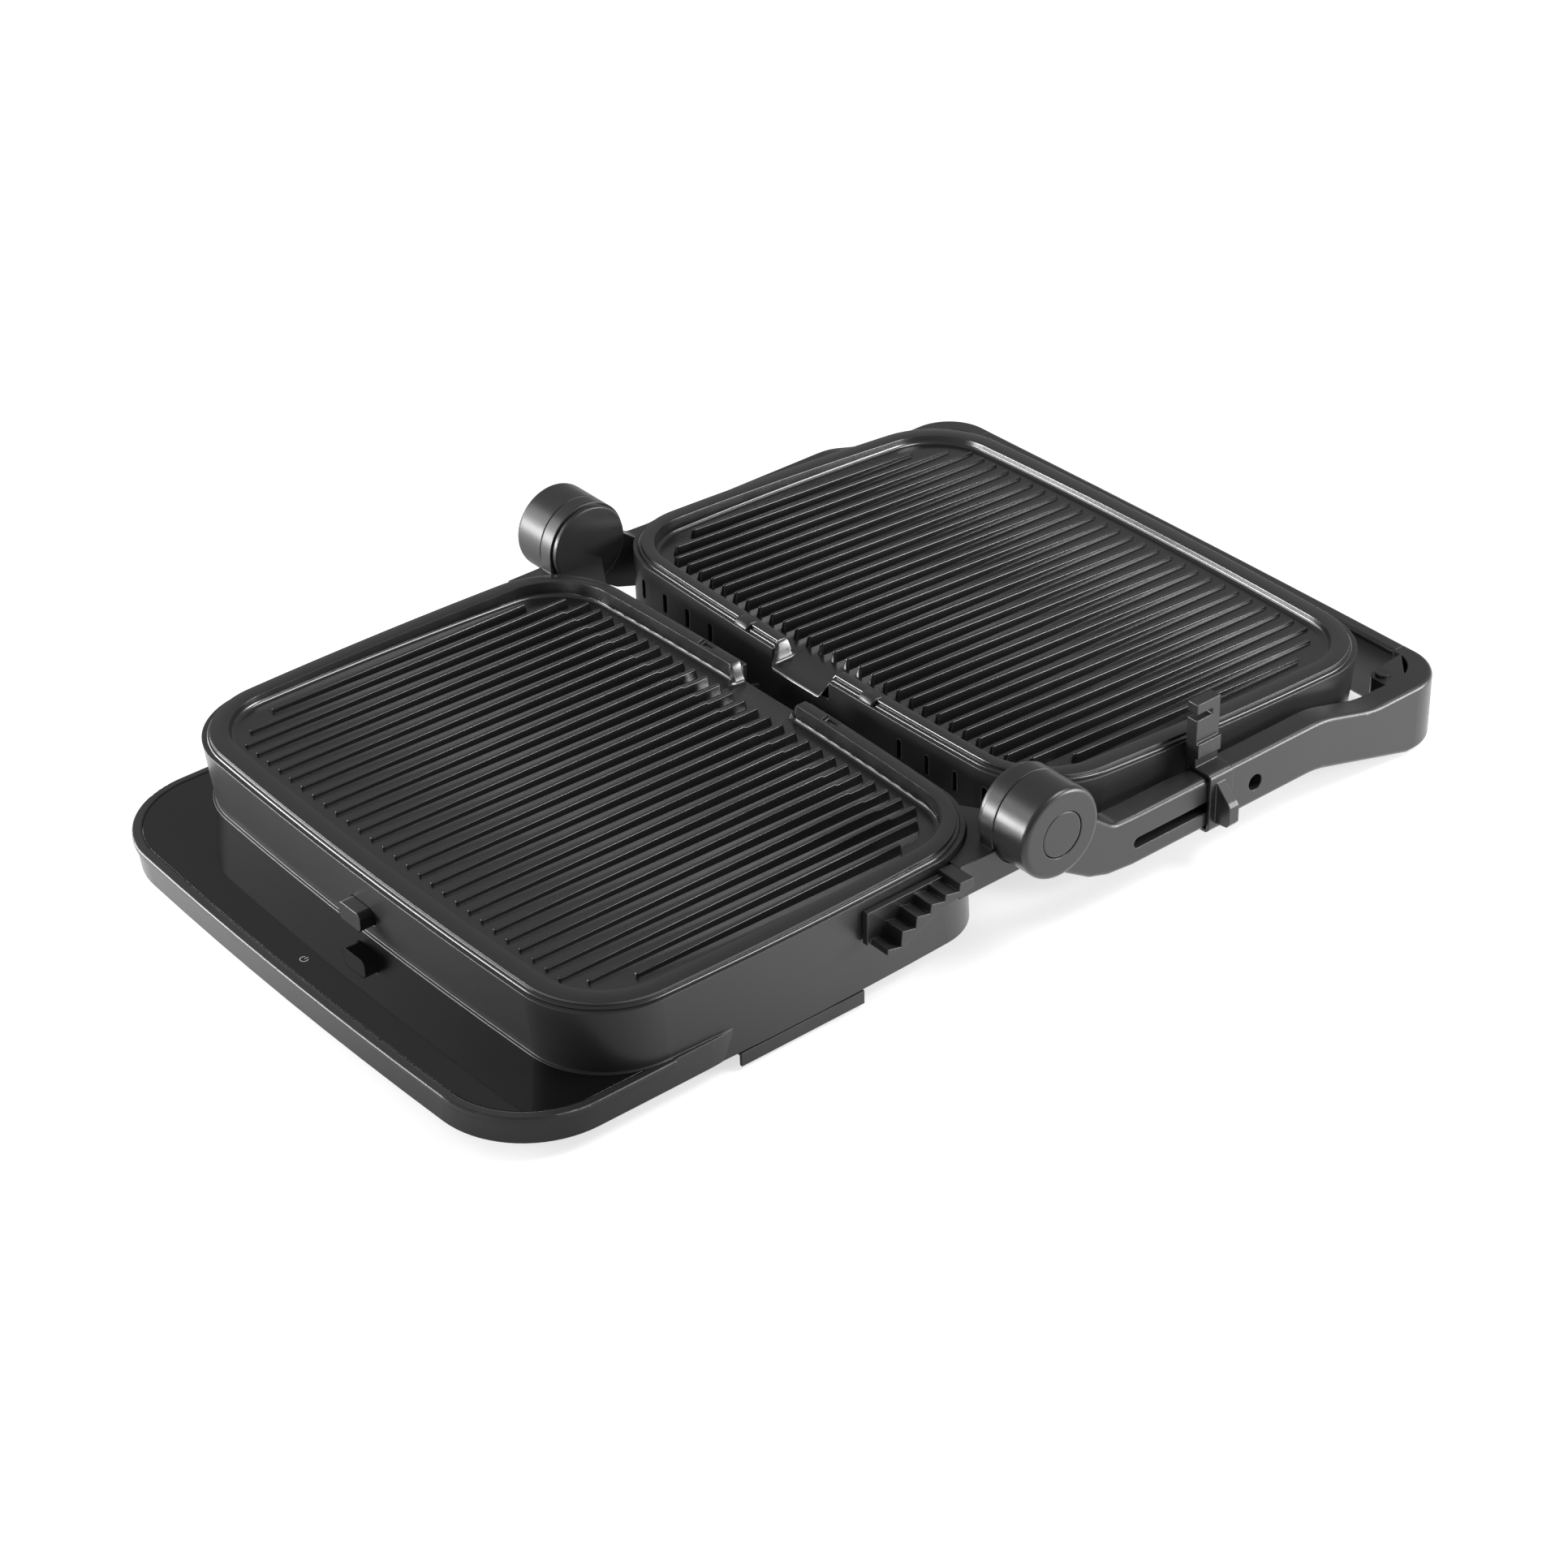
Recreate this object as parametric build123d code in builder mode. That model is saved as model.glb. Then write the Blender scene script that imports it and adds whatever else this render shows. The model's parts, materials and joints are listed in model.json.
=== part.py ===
import math
import os

from build123d import *

# Contact grill lying flat open: lower unit at the front, lid folded back behind
# it. Millimetres, +Z up, table at z 0, the hinge axis runs along X.

os.makedirs("parts", exist_ok=True)

# Overall sizes
foot_height = 9.5
housing_half_width = 157.5
hinge_y = 11.2
hinge_z = 61.5
plate_reach = 122.5
lower_ribs_below_hinge = 5.0
upper_ribs_below_hinge = 0.32
open_droop = 3.142

# Cooking plates, heights measured from the tops of the ribs
plate_half_width = housing_half_width - 2.7
plate_half_length = 112.8
plate_corner = 41.0
side_bow = 3.0
end_bow = 4.6
rim_rise = 2.5
rim_depth = 4.0
basin_half_width = plate_half_width - 7.8
basin_front = 104.1
basin_rear = 107.0
basin_corner = 33.0
basin_wall = 2.2
floor_thick = 3.4
floor_shallow = 2.6
floor_deep = 5.4
rim_fillet = 1.0

# Ribs
rib_pitch = 9.0
rib_margin = 7.5
rib_count = 2 * int((basin_half_width - rib_margin) / rib_pitch) + 1
rib_length = 192.0
rib_base = 3.9
rib_top = 1.9
rib_tail = 15.0
rib_tail_drop = 0.9
side_rib_cut = 15.0
edge_rib_cut = 50.0
side_rib_shift = 0.5

# Fat spout at the hinge side
spout_inner_half = 26.0
spout_throat = 10.0
lower_outlet_half = 19.0
upper_outlet_half = 16.0
spout_wall = 2.0
spout_deep = 6.8
spout_corner = 5.0
cheek_round = 1.8
mouth_step = 0.4
lip_reach = 6.4
lip_drop = 2.6
lip_round = 1.8

# Plate catches
catch_x = 44.5
catch_width = 9.4
catch_fit = 0.3
catch_slot_depth = 5.0

# Housings
wall = 2.5
housing_half_length = 116.0
housing_corner = 42.0
housing_rim_drop = 0.5
edge_fit = 0.25
ledge_drop = 4.7
ledge_thick = 2.0
ledge_width = 2.4
front_lean = 3.2
side_draft = 1.7
lid_draft = 2.0

# Plinth and control deck
plinth_front = -267.9
plinth_bottom_half = housing_half_width - 1.7
deck_half_width = housing_half_width + 0.8
deck_top = 24.5
deck_depth = 3.0
deck_shelf = 2.0
plinth_corner = 46.0
plinth_front_bow = 4.6
plinth_side_bow = 0.6
plinth_draft = 1.0
plinth_tail = 60.0
bezel_overhang = 0.9
rear_corner = 30.0
bezel_width = 4.2
bezel_end_y = -180.0
bezel_round = 0.8
deck_fit = 0.2

# Bottom cover, feet and screws
cover_thick = 2.0
cover_fit = 0.3
foot_diameter = 20.0
foot_front_y = -240.0
foot_rear_y = -22.0
foot_x = housing_half_width - 39.5
foot_peg = 8.0
screw_head = 7.0
screw_shank = 3.5
boss_diameter = 9.0
side_screw_x = housing_half_width - 11.5
side_screw_step = 40.0
front_screw_step = 16.0
screw_fit = 0.1
screw_length = 10.0
screw_hole = 8.5
screw_head_thick = 1.9

# Drip tray
tray_centre_y = -111.3
tray_width = 67.0
tray_bottom = 2.0
tray_top = 8.6
tray_inner_x = -34.0
tray_face_x = plinth_bottom_half - 0.2
tray_wall = 1.4
tray_fit = 0.35
rail_thick = 2.5
rail_lip = 1.5
tray_flange = 3.0
drain_x = 21.0
drain_opening = 18.0

# Hinge pods
pod_radius = 21.8
pod_inner_x = housing_half_width - 3.9
pod_split_x = pod_inner_x + 7.7
pod_split_gap = 0.5
pod_outer_x = pod_inner_x + 27.9
hinge_pin = 10.0
pin_fit = 0.06
bracket_outer_x = pod_inner_x + 8.8
bracket_inner_x = pod_inner_x - 27.6
bracket_tail = 8.0
bracket_front = -29.8
bracket_bottom = 37.0
bracket_top = 53.0
release_radius = 11.0
release_depth = 7.5
bush_wall = 2.0
bush_fit = 0.05
pin_head_wall = 3.0
pin_head_thick = 2.5
pin_end_x = pod_outer_x - 8.5
release_travel = 2.5
release_fit = 0.3
release_slack = 0.2
release_edge = 0.8

# Lid frame
arm_inner_x = housing_half_width + 5.5
arm_outer_x = arm_inner_x + 12.0
arm_bottom = 19.3
arm_top = 45.6
slot_z = 30.8
slot_height = 5.6
slot_start_y = 60.9
slot_end_y = 119.4
pivot_y = 136.2
pivot_radius = 4.1
pivot_fit = 0.08
handle_outer_y = 267.9
handle_thick = 9.0
handle_corner = 24.0
handle_bottom = 2.0
handle_top = 36.5
grip_half = arm_inner_x - 18.0
handle_boss_x = arm_inner_x - 6.6
handle_boss_y = 239.3
handle_boss_radius = 5.5
handle_seam = 0.3
inner_corner = 17.0
grip_bow = 1.2
arm_round = 2.5
arm_bend = 50.0
elbow_bend = 9.0

# Height clip
clip_y = 112.6
clip_width = 14.0
clip_sheet = 1.7
clip_fit = 0.3
clip_leg_thick = 6.0
clip_leg_inner_x = arm_inner_x - 2.1
clip_leg_top = 80.0
clip_pin_length = 8.0
tab_reach = 9.0
tab_width = 5.8

# Stair block under the clip leg
stair_front = -79.9
stair_pitch = 8.1
stair_inner_x = housing_half_width - 0.1
stair_backing = 3.0
stair_outer_x = stair_inner_x + 13.9
stair_bottom = 35.4
stair_hook = 1.7
stair_top = 53.5
stair_ribbon = 4.4

# Lid depth and inside parts
lid_depth = 39.5
lid_edge = 9.0
vent_x = 94.5
vent_h = -14.0
vent_pitch = 18.0
vent_count = 4
vent_width = 3.0
vent_height = 10.5
element_tube = 6.5
element_half_x = 112.0
element_half_v = 74.0
element_leg_x = 34.0
element_bend = 28.0
element_gap = 0.15
thermostat_x = 60.0
thermostat_radius = 12.0
thermostat_height = 8.0
blade_spread = 8.0
blade_width = 6.3
blade_thick = 0.8
blade_length = 5.0
sensor_radius = 3.0
catch_depth = 3.6
lower_catch_top = -0.8
upper_catch_top = 1.6
power_x = housing_half_width - 62.5
power_y = -45.0
power_z = 15.0
reflector_sheet = 0.8
reflector_depth = 11.4
reflector_fit = 0.4

# Drain chute, boards and cable gland
chute_half = 20.5
chute_sheet = 1.0
chute_low = 25.0
chute_front = 4.6
chute_ledge = 6.4
chute_back = 10.8
chute_ledge_z = 37.2
chute_gap = 0.4
board_z = 18.6
board_y = -249.0
board_thick = 1.6
touch_length = 96.0
touch_width = 24.0
power_length = 72.0
power_width = 38.0
transformer_height = 13.0
gland_x = 70.0
gland_z = 23.0
gland_radius = 6.5
gland_fit = 0.1
gland_flange = 2.0
gland_length = 10.0
cord_bore = 3.4

# Release buttons for the plates
button_width = 16.4
button_height = 9.3
button_z = 36.4
button_h = -20.1
button_reach = 7.2
button_fit = 0.3
button_corner = 2.8
button_root = 2.5
stem_width = 10.0
stem_thick = 3.6
stem_length = 10.0

# Heights of the stair treads below the top one
stair_drops = (0, 2.3, 3.5, 6.0, 9.7, 15.4)

# Planes lying on the tops of the ribs, one per plate
droop = math.radians(open_droop)
lower_y = hinge_y - plate_reach
lower_z = hinge_z - lower_ribs_below_hinge
lower = Plane(origin=(0, lower_y, lower_z), x_dir=(1, 0, 0), z_dir=(0, 0, 1))
rear_wall_y = lower_y + housing_half_length
lid_along = Vector(0, math.cos(droop), -math.sin(droop))
lid_normal = Vector(0, math.sin(droop), math.cos(droop))
lid_centre = Vector(0, hinge_y, hinge_z) + lid_along * plate_reach - lid_normal * upper_ribs_below_hinge


def bowed_outline(half_width, front, rear, side, front_sag, rear_sag, front_radius, rear_radius):
    """Rectangle with gently bowed sides and rounded corners."""
    x_end = half_width - side
    y_front = front + front_sag
    y_rear = rear - rear_sag
    middle = (front + rear) / 2
    with BuildSketch() as outline:
        with BuildLine():
            ThreePointArc((-x_end, y_front), (0, front), (x_end, y_front))
            ThreePointArc((x_end, y_front), (half_width, middle), (x_end, y_rear))
            ThreePointArc((x_end, y_rear), (0, rear), (-x_end, y_rear))
            ThreePointArc((-x_end, y_rear), (-half_width, middle), (-x_end, y_front))
        make_face()
        fillet(outline.vertices().group_by(Axis.Y)[0], front_radius)
        fillet(outline.vertices().group_by(Axis.Y)[-1], rear_radius)
    return outline.sketch


tray_half = tray_width / 2 - tray_flange - 1
rail_inner = tray_half + tray_flange + tray_fit
drain_y = tray_centre_y + 22.0
catch_v = housing_half_length - wall - 0.7 - catch_depth / 2

# The lid plane points its +Y at the hinge, as the lower plane does, so both
# plates and both sets of inside parts come from the same functions.
lid = Plane(origin=lid_centre, x_dir=(-1, 0, 0), z_dir=lid_normal)
button_hole_width = button_width + 2 * button_fit
button_hole_height = button_height + 2 * button_fit
floor_mid = (floor_shallow + floor_deep) / 2
floor_slope = math.degrees(math.atan2(floor_deep - floor_shallow, basin_front + basin_rear))
rib_root = floor_deep + 0.5
side_rib = (rib_count - 4) // 2 + 1
rib_taper = math.degrees(math.atan2((rib_base - rib_top) / 2, rib_root))


def plate_outline(grow):
    """Outer edge of a cooking plate, grown or shrunk."""
    return bowed_outline(
        plate_half_width + grow,
        -plate_half_length - grow,
        plate_half_length + grow,
        side_bow,
        end_bow,
        end_bow,
        plate_corner + grow,
        plate_corner + grow,
    )


def basin_outline(grow):
    """Inner edge of a cooking plate's rim, grown or shrunk."""
    return bowed_outline(
        basin_half_width + grow,
        -basin_front - grow,
        basin_rear + grow,
        side_bow,
        end_bow,
        end_bow,
        basin_corner + grow,
        basin_corner + grow,
    )


def housing_outline(grow, lean):
    """Outer edge of a housing, grown or shrunk, its front leaned back."""
    return bowed_outline(
        housing_half_width + grow,
        -housing_half_length - grow + lean,
        housing_half_length + grow,
        side_bow,
        end_bow,
        end_bow,
        housing_corner + grow,
        housing_corner + grow,
    )


def channel_outline(grow, outlet_half, run_out):
    """Fat channel that narrows from the basin to its outlet, grown or shrunk."""
    throat = spout_inner_half + grow
    outlet = outlet_half + grow
    mouth = basin_rear - spout_throat - grow
    with BuildSketch() as channel:
        with BuildLine():
            Polyline(
                (-throat, mouth),
                (throat, mouth),
                (outlet, plate_half_length),
                (outlet, plate_half_length + run_out),
                (-outlet, plate_half_length + run_out),
                (-outlet, plate_half_length),
                close=True,
            )
        make_face()
    return channel.sketch


def near_spout(corners, edge_y):
    """Corners of an outline that lie beside the spout, close to one edge."""
    return corners.filter_by(lambda v: abs(v.X) < spout_inner_half and abs(v.Y - edge_y) < 2)


def spout_mouth(outlet_half):
    """Opening of the rim over the fat channel, its corners rounded."""
    with BuildSketch() as mouth:
        add(basin_outline(0))
        add(channel_outline(0, outlet_half, 2 * lip_reach))
        with Locations((0, plate_half_length - 0.1 + lip_reach)):
            Rectangle(4 * spout_inner_half, 2 * lip_reach)
        inner = near_spout(mouth.vertices(), basin_rear)
        fillet(inner, spout_corner)
        outer = near_spout(mouth.vertices(), plate_half_length)
        fillet(outer, cheek_round)
        with Locations((0, basin_rear + spout_throat)):
            Rectangle(2 * spout_inner_half, 3 * spout_throat, mode=Mode.INTERSECT)
    return mouth.sketch


def cooking_plate(plane, outlet_half, with_lip):
    """Ribbed cast plate with a sloping floor and a spout at the hinge side."""
    sloped = plane.offset(-floor_mid).rotated((-floor_slope, 0, 0))
    rim_face = plate_outline(0)
    tub_face = basin_outline(basin_wall)
    basin_face = basin_outline(0)
    spout_block = channel_outline(spout_wall, outlet_half, 0.01)
    spout_channel = channel_outline(0, outlet_half, 2 * lip_reach)
    mouth_face = spout_mouth(outlet_half)
    with BuildPart() as cast:
        with BuildSketch(plane.offset(rim_rise - rim_depth)):
            add(rim_face)
        extrude(amount=rim_depth)
        with BuildSketch(sloped.offset(-floor_thick)):
            add(tub_face)
        extrude(amount=floor_thick + floor_mid + 1)
        with BuildSketch(plane.offset(-spout_deep - spout_wall)):
            add(spout_block)
        extrude(amount=spout_deep + spout_wall + rim_rise)
        with BuildSketch(sloped):
            add(basin_face)
        extrude(amount=20, mode=Mode.SUBTRACT)
        with BuildSketch(plane.offset(-spout_deep)):
            add(spout_channel)
        extrude(amount=20, mode=Mode.SUBTRACT)
        with BuildSketch(plane.offset(mouth_step - floor_deep)):
            add(mouth_face)
        extrude(amount=20, mode=Mode.SUBTRACT)
        if with_lip:
            lip_side = Plane(origin=plane.origin, x_dir=plane.y_dir, z_dir=plane.x_dir)
            with BuildSketch(lip_side):
                with BuildLine():
                    Polyline(
                        (plate_half_length - 3, -spout_deep),
                        (plate_half_length + lip_reach, -spout_deep),
                        (plate_half_length + lip_reach, -spout_deep - lip_drop),
                        (plate_half_length + lip_reach - spout_wall + 0.4, -spout_deep - lip_drop),
                        (plate_half_length + lip_reach - spout_wall - 0.6, -spout_deep - spout_wall),
                        (plate_half_length - 3, -spout_deep - spout_wall),
                        close=True,
                    )
                lip_profile = make_face()
                fillet(lip_profile.vertices().sort_by(Axis.X)[-2:].sort_by(Axis.Y)[-1:], lip_round)
            extrude(amount=outlet_half + spout_wall, both=True)
        with BuildSketch(plane.offset(rim_rise - rim_depth - 1)):
            with Locations((-catch_x, plate_half_length), (catch_x, plate_half_length)):
                Rectangle(catch_width + 2 * catch_fit, 2 * catch_slot_depth)
        extrude(amount=rim_depth + 2, mode=Mode.SUBTRACT)
        rim_top = cast.faces().filter_by(lambda f: abs(plane.to_local_coords(f.center()).Z - rim_rise) < 0.01)
        fillet(rim_top.edges().filter_by(lambda e: e.length > 30), rim_fillet)
        with BuildSketch(plane.offset(-rib_root)):
            with GridLocations(rib_pitch, 0, rib_count - 4, 1):
                SlotOverall(rib_length, rib_base, rotation=90)
            for row, cut in ((side_rib, side_rib_cut), (side_rib + 1, edge_rib_cut)):
                with Locations((-row * rib_pitch, side_rib_shift), (row * rib_pitch, side_rib_shift)):
                    SlotOverall(rib_length - cut, rib_base, rotation=90)
        extrude(amount=rib_root, taper=rib_taper)
        with BuildSketch(plane.offset(-rib_tail_drop)):
            with Locations((0, rib_length / 2 - rib_tail / 2 + 1)):
                Rectangle(2 * basin_half_width - 10, rib_tail + 2)
        extrude(amount=rib_tail_drop, mode=Mode.SUBTRACT)
    return cast.part


lower_plate = cooking_plate(lower, lower_outlet_half, False)
lower_plate.label = "lower_plate"
export_step(lower_plate, "parts/lower_plate.step")

upper_plate = cooking_plate(lid, upper_outlet_half, True)
upper_plate.label = "upper_plate"
export_step(upper_plate, "parts/upper_plate.step")


def inside_cut(plane, part_bottom, ledge_top, rim, draft, lean):
    """Hollow of a housing with an inner ledge for the reflector to hang on."""
    deep = housing_outline(-wall - draft, lean)
    wide = housing_outline(-wall, 0)
    narrow = housing_outline(-wall - ledge_width, 0)
    with BuildPart() as hollow:
        with BuildSketch(plane.offset(part_bottom)):
            add(deep)
        extrude(amount=ledge_top - ledge_thick - part_bottom)
        with BuildSketch(plane.offset(ledge_top - ledge_thick - 1)):
            add(narrow)
        extrude(amount=ledge_thick + 2)
        with BuildSketch(plane.offset(ledge_top)):
            add(wide)
        extrude(amount=rim - ledge_top)
    return hollow.part


def base_walls(grow):
    """Outside of the lower housing, its walls drawn in towards the table."""
    foot_face = bowed_outline(
        housing_half_width - side_draft + grow,
        -housing_half_length + side_draft + front_lean - grow,
        housing_half_length - side_draft + grow,
        side_bow,
        end_bow,
        end_bow,
        housing_corner - side_draft + grow,
        rear_corner + grow,
    )
    rim_face = housing_outline(grow, 0)
    with BuildPart() as walls:
        with BuildSketch(lower.offset(foot_height - lower_z)):
            add(foot_face)
        with BuildSketch(lower.offset(-housing_rim_drop)):
            add(rim_face)
        loft()
    return walls.part


# Base shell: plinth with the control deck in front, housing walls behind
lower_walls = base_walls(0)
lower_walls_clear = base_walls(edge_fit)
lid_rim = housing_outline(0, 0)
def plinth_outline(half_width, front_inset, corner, rear):
    """Outline of the plinth, its front edge set back from the foremost one."""
    front = plinth_front + front_inset
    return bowed_outline(half_width, front, rear, plinth_side_bow, plinth_front_bow, 0.2, corner, plinth_tail)


lower_mid_rear = lower_y + 10
glass_half = deck_half_width - bezel_width
plinth_low = plinth_outline(plinth_bottom_half, plinth_draft, plinth_corner, lower_mid_rear)
plinth_high = plinth_outline(deck_half_width - bezel_overhang, 0, plinth_corner, lower_mid_rear)
plinth_inner = plinth_outline(plinth_bottom_half - wall, plinth_draft + wall, plinth_corner - wall, lower_y)
base_hollow = inside_cut(lower, foot_height - lower_z - 1, -ledge_drop, 4, side_draft, front_lean)
deck_face = plinth_outline(glass_half, bezel_width, plinth_corner - bezel_width, lower_y)
deck_outer = plinth_outline(deck_half_width, -0.4, plinth_corner, lower_y)
deck_wall = housing_outline(-0.4, front_lean - 1.6)
deck_wall_clear = housing_outline(-0.4 + deck_fit, front_lean - 1.6)
glass_corner = plinth_corner - bezel_width - deck_fit
deck_glass_face = plinth_outline(glass_half - deck_fit, bezel_width + deck_fit, glass_corner, lower_y)
cover_inset = wall + cover_fit
cover_plinth_face = plinth_outline(
    plinth_bottom_half - cover_inset, plinth_draft + cover_inset, plinth_corner - cover_inset, lower_y
)
cover_walls_face = housing_outline(-side_draft - wall - cover_fit, front_lean)
screw_places = [(side * foot_x, foot_front_y + front_screw_step) for side in (-1, 1)]
foot_places = [(side * foot_x, y) for side in (-1, 1) for y in (foot_front_y, foot_rear_y)]
screw_steps = [lower_y - side_screw_step, lower_y + side_screw_step]
screw_places += [(side * side_screw_x, y) for side in (-1, 1) for y in screw_steps]

with BuildPart() as base_shell:
    with BuildSketch(Plane.XY.offset(foot_height)):
        add(plinth_low)
    with BuildSketch(Plane.XY.offset(deck_top)):
        add(plinth_high)
    loft()
    add(lower_walls)
    with BuildSketch(Plane.XY.offset(foot_height - 1)):
        add(plinth_inner)
    extrude(amount=deck_top - deck_depth - deck_shelf - foot_height + 1, mode=Mode.SUBTRACT)
    add(base_hollow, mode=Mode.SUBTRACT)
    with BuildSketch(Plane.XY.offset(deck_top - deck_depth)):
        with Locations((0, bezel_end_y)):
            Rectangle(2 * deck_half_width + 10, bezel_end_y - plinth_front + 30, align=(Align.CENTER, Align.MAX))
        with BuildSketch(mode=Mode.SUBTRACT):
            with Locations((0, lower_y)):
                add(deck_wall)
    extrude(amount=deck_depth + 1, mode=Mode.SUBTRACT)
    with BuildSketch(Plane.XY.offset(foot_height + cover_thick + 0.2)):
        with Locations(*screw_places[:2]):
            Circle(boss_diameter / 2)
    extrude(amount=deck_top - deck_depth - foot_height - cover_thick - 1)
    with BuildSketch(Plane.XY.offset(foot_height + cover_thick + 0.2)):
        with Locations(*screw_places[2:]):
            Circle(boss_diameter / 2)
        with GridLocations(2 * side_screw_x + boss_diameter, 2 * side_screw_step, 2, 2):
            with Locations((0, lower_y)):
                Rectangle(boss_diameter, boss_diameter / 3)
    extrude(amount=18)
    with BuildSketch(Plane.XY.offset(foot_height + cover_thick + 0.2)):
        with Locations(*screw_places):
            Circle(screw_shank / 2 + screw_fit)
    extrude(amount=screw_hole, mode=Mode.SUBTRACT)
    with BuildSketch(Plane.XY.offset(board_z + 0.15)):
        with Locations((-38, board_y), (38, board_y)):
            Circle(3)
    extrude(amount=deck_top - deck_depth - deck_shelf - board_z + 0.5)
    with BuildSketch(Plane.XZ.offset(-lower_y + 100)):
        with Locations((0, button_z)):
            RectangleRounded(button_hole_width, button_hole_height, button_corner + button_fit)
    extrude(amount=30, mode=Mode.SUBTRACT)
    with BuildSketch(Plane.XZ.offset(-rear_wall_y - 5)):
        with Locations((0, lower_z - 5)):
            Rectangle(2 * lower_outlet_half + 2 * spout_wall + 4, 12)
        with Locations((0, (chute_low + lower_z) / 2 - 4)):
            Rectangle(2 * chute_half + 1, lower_z - chute_low - 4)
        with Locations((gland_x, gland_z)):
            Circle(gland_radius + gland_fit)
    extrude(amount=12, mode=Mode.SUBTRACT)
base_shell.part.label = "base_shell"
export_step(base_shell.part, "parts/base_shell.step")

# Rim around the control deck and the glass panel inside it
with BuildPart() as deck_bezel:
    with BuildSketch(Plane.XY.offset(deck_top - deck_depth + 0.05)):
        add(deck_outer)
        add(deck_face, mode=Mode.SUBTRACT)
        with Locations((0, bezel_end_y + 100)):
            Rectangle(400, 200, mode=Mode.SUBTRACT)
        with Locations((0, lower_y)):
            add(deck_wall_clear, mode=Mode.SUBTRACT)
    extrude(amount=deck_depth - 0.05)
    fillet(deck_bezel.edges().group_by(Axis.Z)[-1].filter_by(lambda e: e.length > 20), bezel_round)
deck_bezel.part.label = "deck_bezel"
export_step(deck_bezel.part, "parts/deck_bezel.step")

with BuildPart() as control_deck_glass:
    with BuildSketch(Plane.XY.offset(deck_top - deck_depth + 0.05)):
        add(deck_glass_face)
        with Locations((0, bezel_end_y - 6 + 100)):
            Rectangle(400, 200, mode=Mode.SUBTRACT)
        with Locations((0, lower_y)):
            add(deck_wall_clear, mode=Mode.SUBTRACT)
    extrude(amount=deck_depth - 0.35)
control_deck_glass.part.label = "control_deck_glass"
export_step(control_deck_glass.part, "parts/control_deck_glass.step")

# Bottom cover with the drain opening and the runners for the drip tray
with BuildPart() as bottom_cover:
    with BuildSketch(Plane.XY.offset(foot_height + 0.1)):
        add(cover_plinth_face)
        with Locations((0, lower_y)):
            add(cover_walls_face)
    extrude(amount=cover_thick)
    with BuildSketch(Plane.XY.offset(foot_height)):
        with Locations((0, drain_y)):
            Rectangle(2 * drain_x, drain_opening)
        with Locations(*screw_places):
            Circle(screw_shank / 2 + screw_fit)
        with Locations(*foot_places):
            Circle(foot_peg / 2 + 0.1)
    extrude(amount=cover_thick + 1, mode=Mode.SUBTRACT)
    with BuildSketch(Plane.YZ.offset(tray_inner_x - 2)):
        for side in (-1, 1):
            with BuildLine():
                Polyline(
                    (tray_centre_y + side * rail_inner, foot_height + 0.5),
                    (tray_centre_y + side * rail_inner, tray_top - tray_wall - 0.3),
                    (tray_centre_y + side * (rail_inner - rail_lip), tray_top - tray_wall - 0.3),
                    (tray_centre_y + side * (rail_inner - rail_lip), tray_top - tray_wall - 2),
                    (tray_centre_y + side * (rail_inner + rail_thick), tray_top - tray_wall - 2),
                    (tray_centre_y + side * (rail_inner + rail_thick), foot_height + 0.5),
                    close=True,
                )
            make_face()
    extrude(amount=tray_face_x - tray_wall - 4 - tray_inner_x)
    with BuildSketch(Plane.XY.offset(foot_height + cover_thick)):
        with Locations((power_x - 28, power_y), (power_x + 28, power_y)):
            Circle(3.5)
    extrude(amount=power_z - foot_height - cover_thick - 0.15)
bottom_cover.part.label = "bottom_cover"
export_step(bottom_cover.part, "parts/bottom_cover.step")

with BuildPart() as drip_tray:
    with BuildSketch(Plane.YZ.offset(tray_inner_x)):
        with BuildLine():
            Polyline(
                (tray_centre_y - tray_half, tray_bottom),
                (tray_centre_y + tray_half, tray_bottom),
                (tray_centre_y + tray_half, tray_top - tray_wall),
                (tray_centre_y + tray_half + tray_flange, tray_top - tray_wall),
                (tray_centre_y + tray_half + tray_flange, tray_top),
                (tray_centre_y - tray_half - tray_flange, tray_top),
                (tray_centre_y - tray_half - tray_flange, tray_top - tray_wall),
                (tray_centre_y - tray_half, tray_top - tray_wall),
                close=True,
            )
        make_face()
    extrude(amount=tray_face_x - tray_inner_x - tray_wall)
    with BuildSketch(Plane.XY.offset(tray_bottom + tray_wall)):
        with Locations(((tray_face_x - tray_wall + tray_inner_x) / 2, tray_centre_y)):
            RectangleRounded(tray_face_x - tray_inner_x - 3 * tray_wall, 2 * tray_half - 2 * tray_wall, 4)
    extrude(amount=10, mode=Mode.SUBTRACT)
    with BuildSketch(Plane.YZ.offset(tray_face_x - tray_wall)):
        with Locations((tray_centre_y, (tray_bottom + tray_top) / 2)):
            Rectangle(tray_width, tray_top - tray_bottom)
    extrude(amount=tray_wall)
drip_tray.part.label = "drip_tray"
export_step(drip_tray.part, "parts/drip_tray.step")

with BuildPart() as feet:
    with BuildSketch(Plane.XY):
        with Locations(*foot_places):
            Circle(foot_diameter / 2)
    extrude(amount=foot_height)
    chamfer(feet.edges().group_by(Axis.Z)[0], 1)
    with BuildSketch(Plane.XY.offset(foot_height)):
        with Locations(*foot_places):
            Circle(foot_peg / 2)
    extrude(amount=cover_thick)
feet.part.label = "feet"
export_step(feet.part, "parts/feet.step")

with BuildPart() as bottom_screws:
    with BuildSketch(Plane.XY.offset(foot_height - screw_head_thick)):
        with Locations(*screw_places):
            Circle(screw_head / 2)
    extrude(amount=screw_head_thick + 0.05)
    with BuildSketch(Plane.XY.offset(foot_height)):
        with Locations(*screw_places):
            Circle(screw_shank / 2)
    extrude(amount=screw_length)
bottom_screws.part.label = "bottom_screws"
export_step(bottom_screws.part, "parts/bottom_screws.step")


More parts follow.
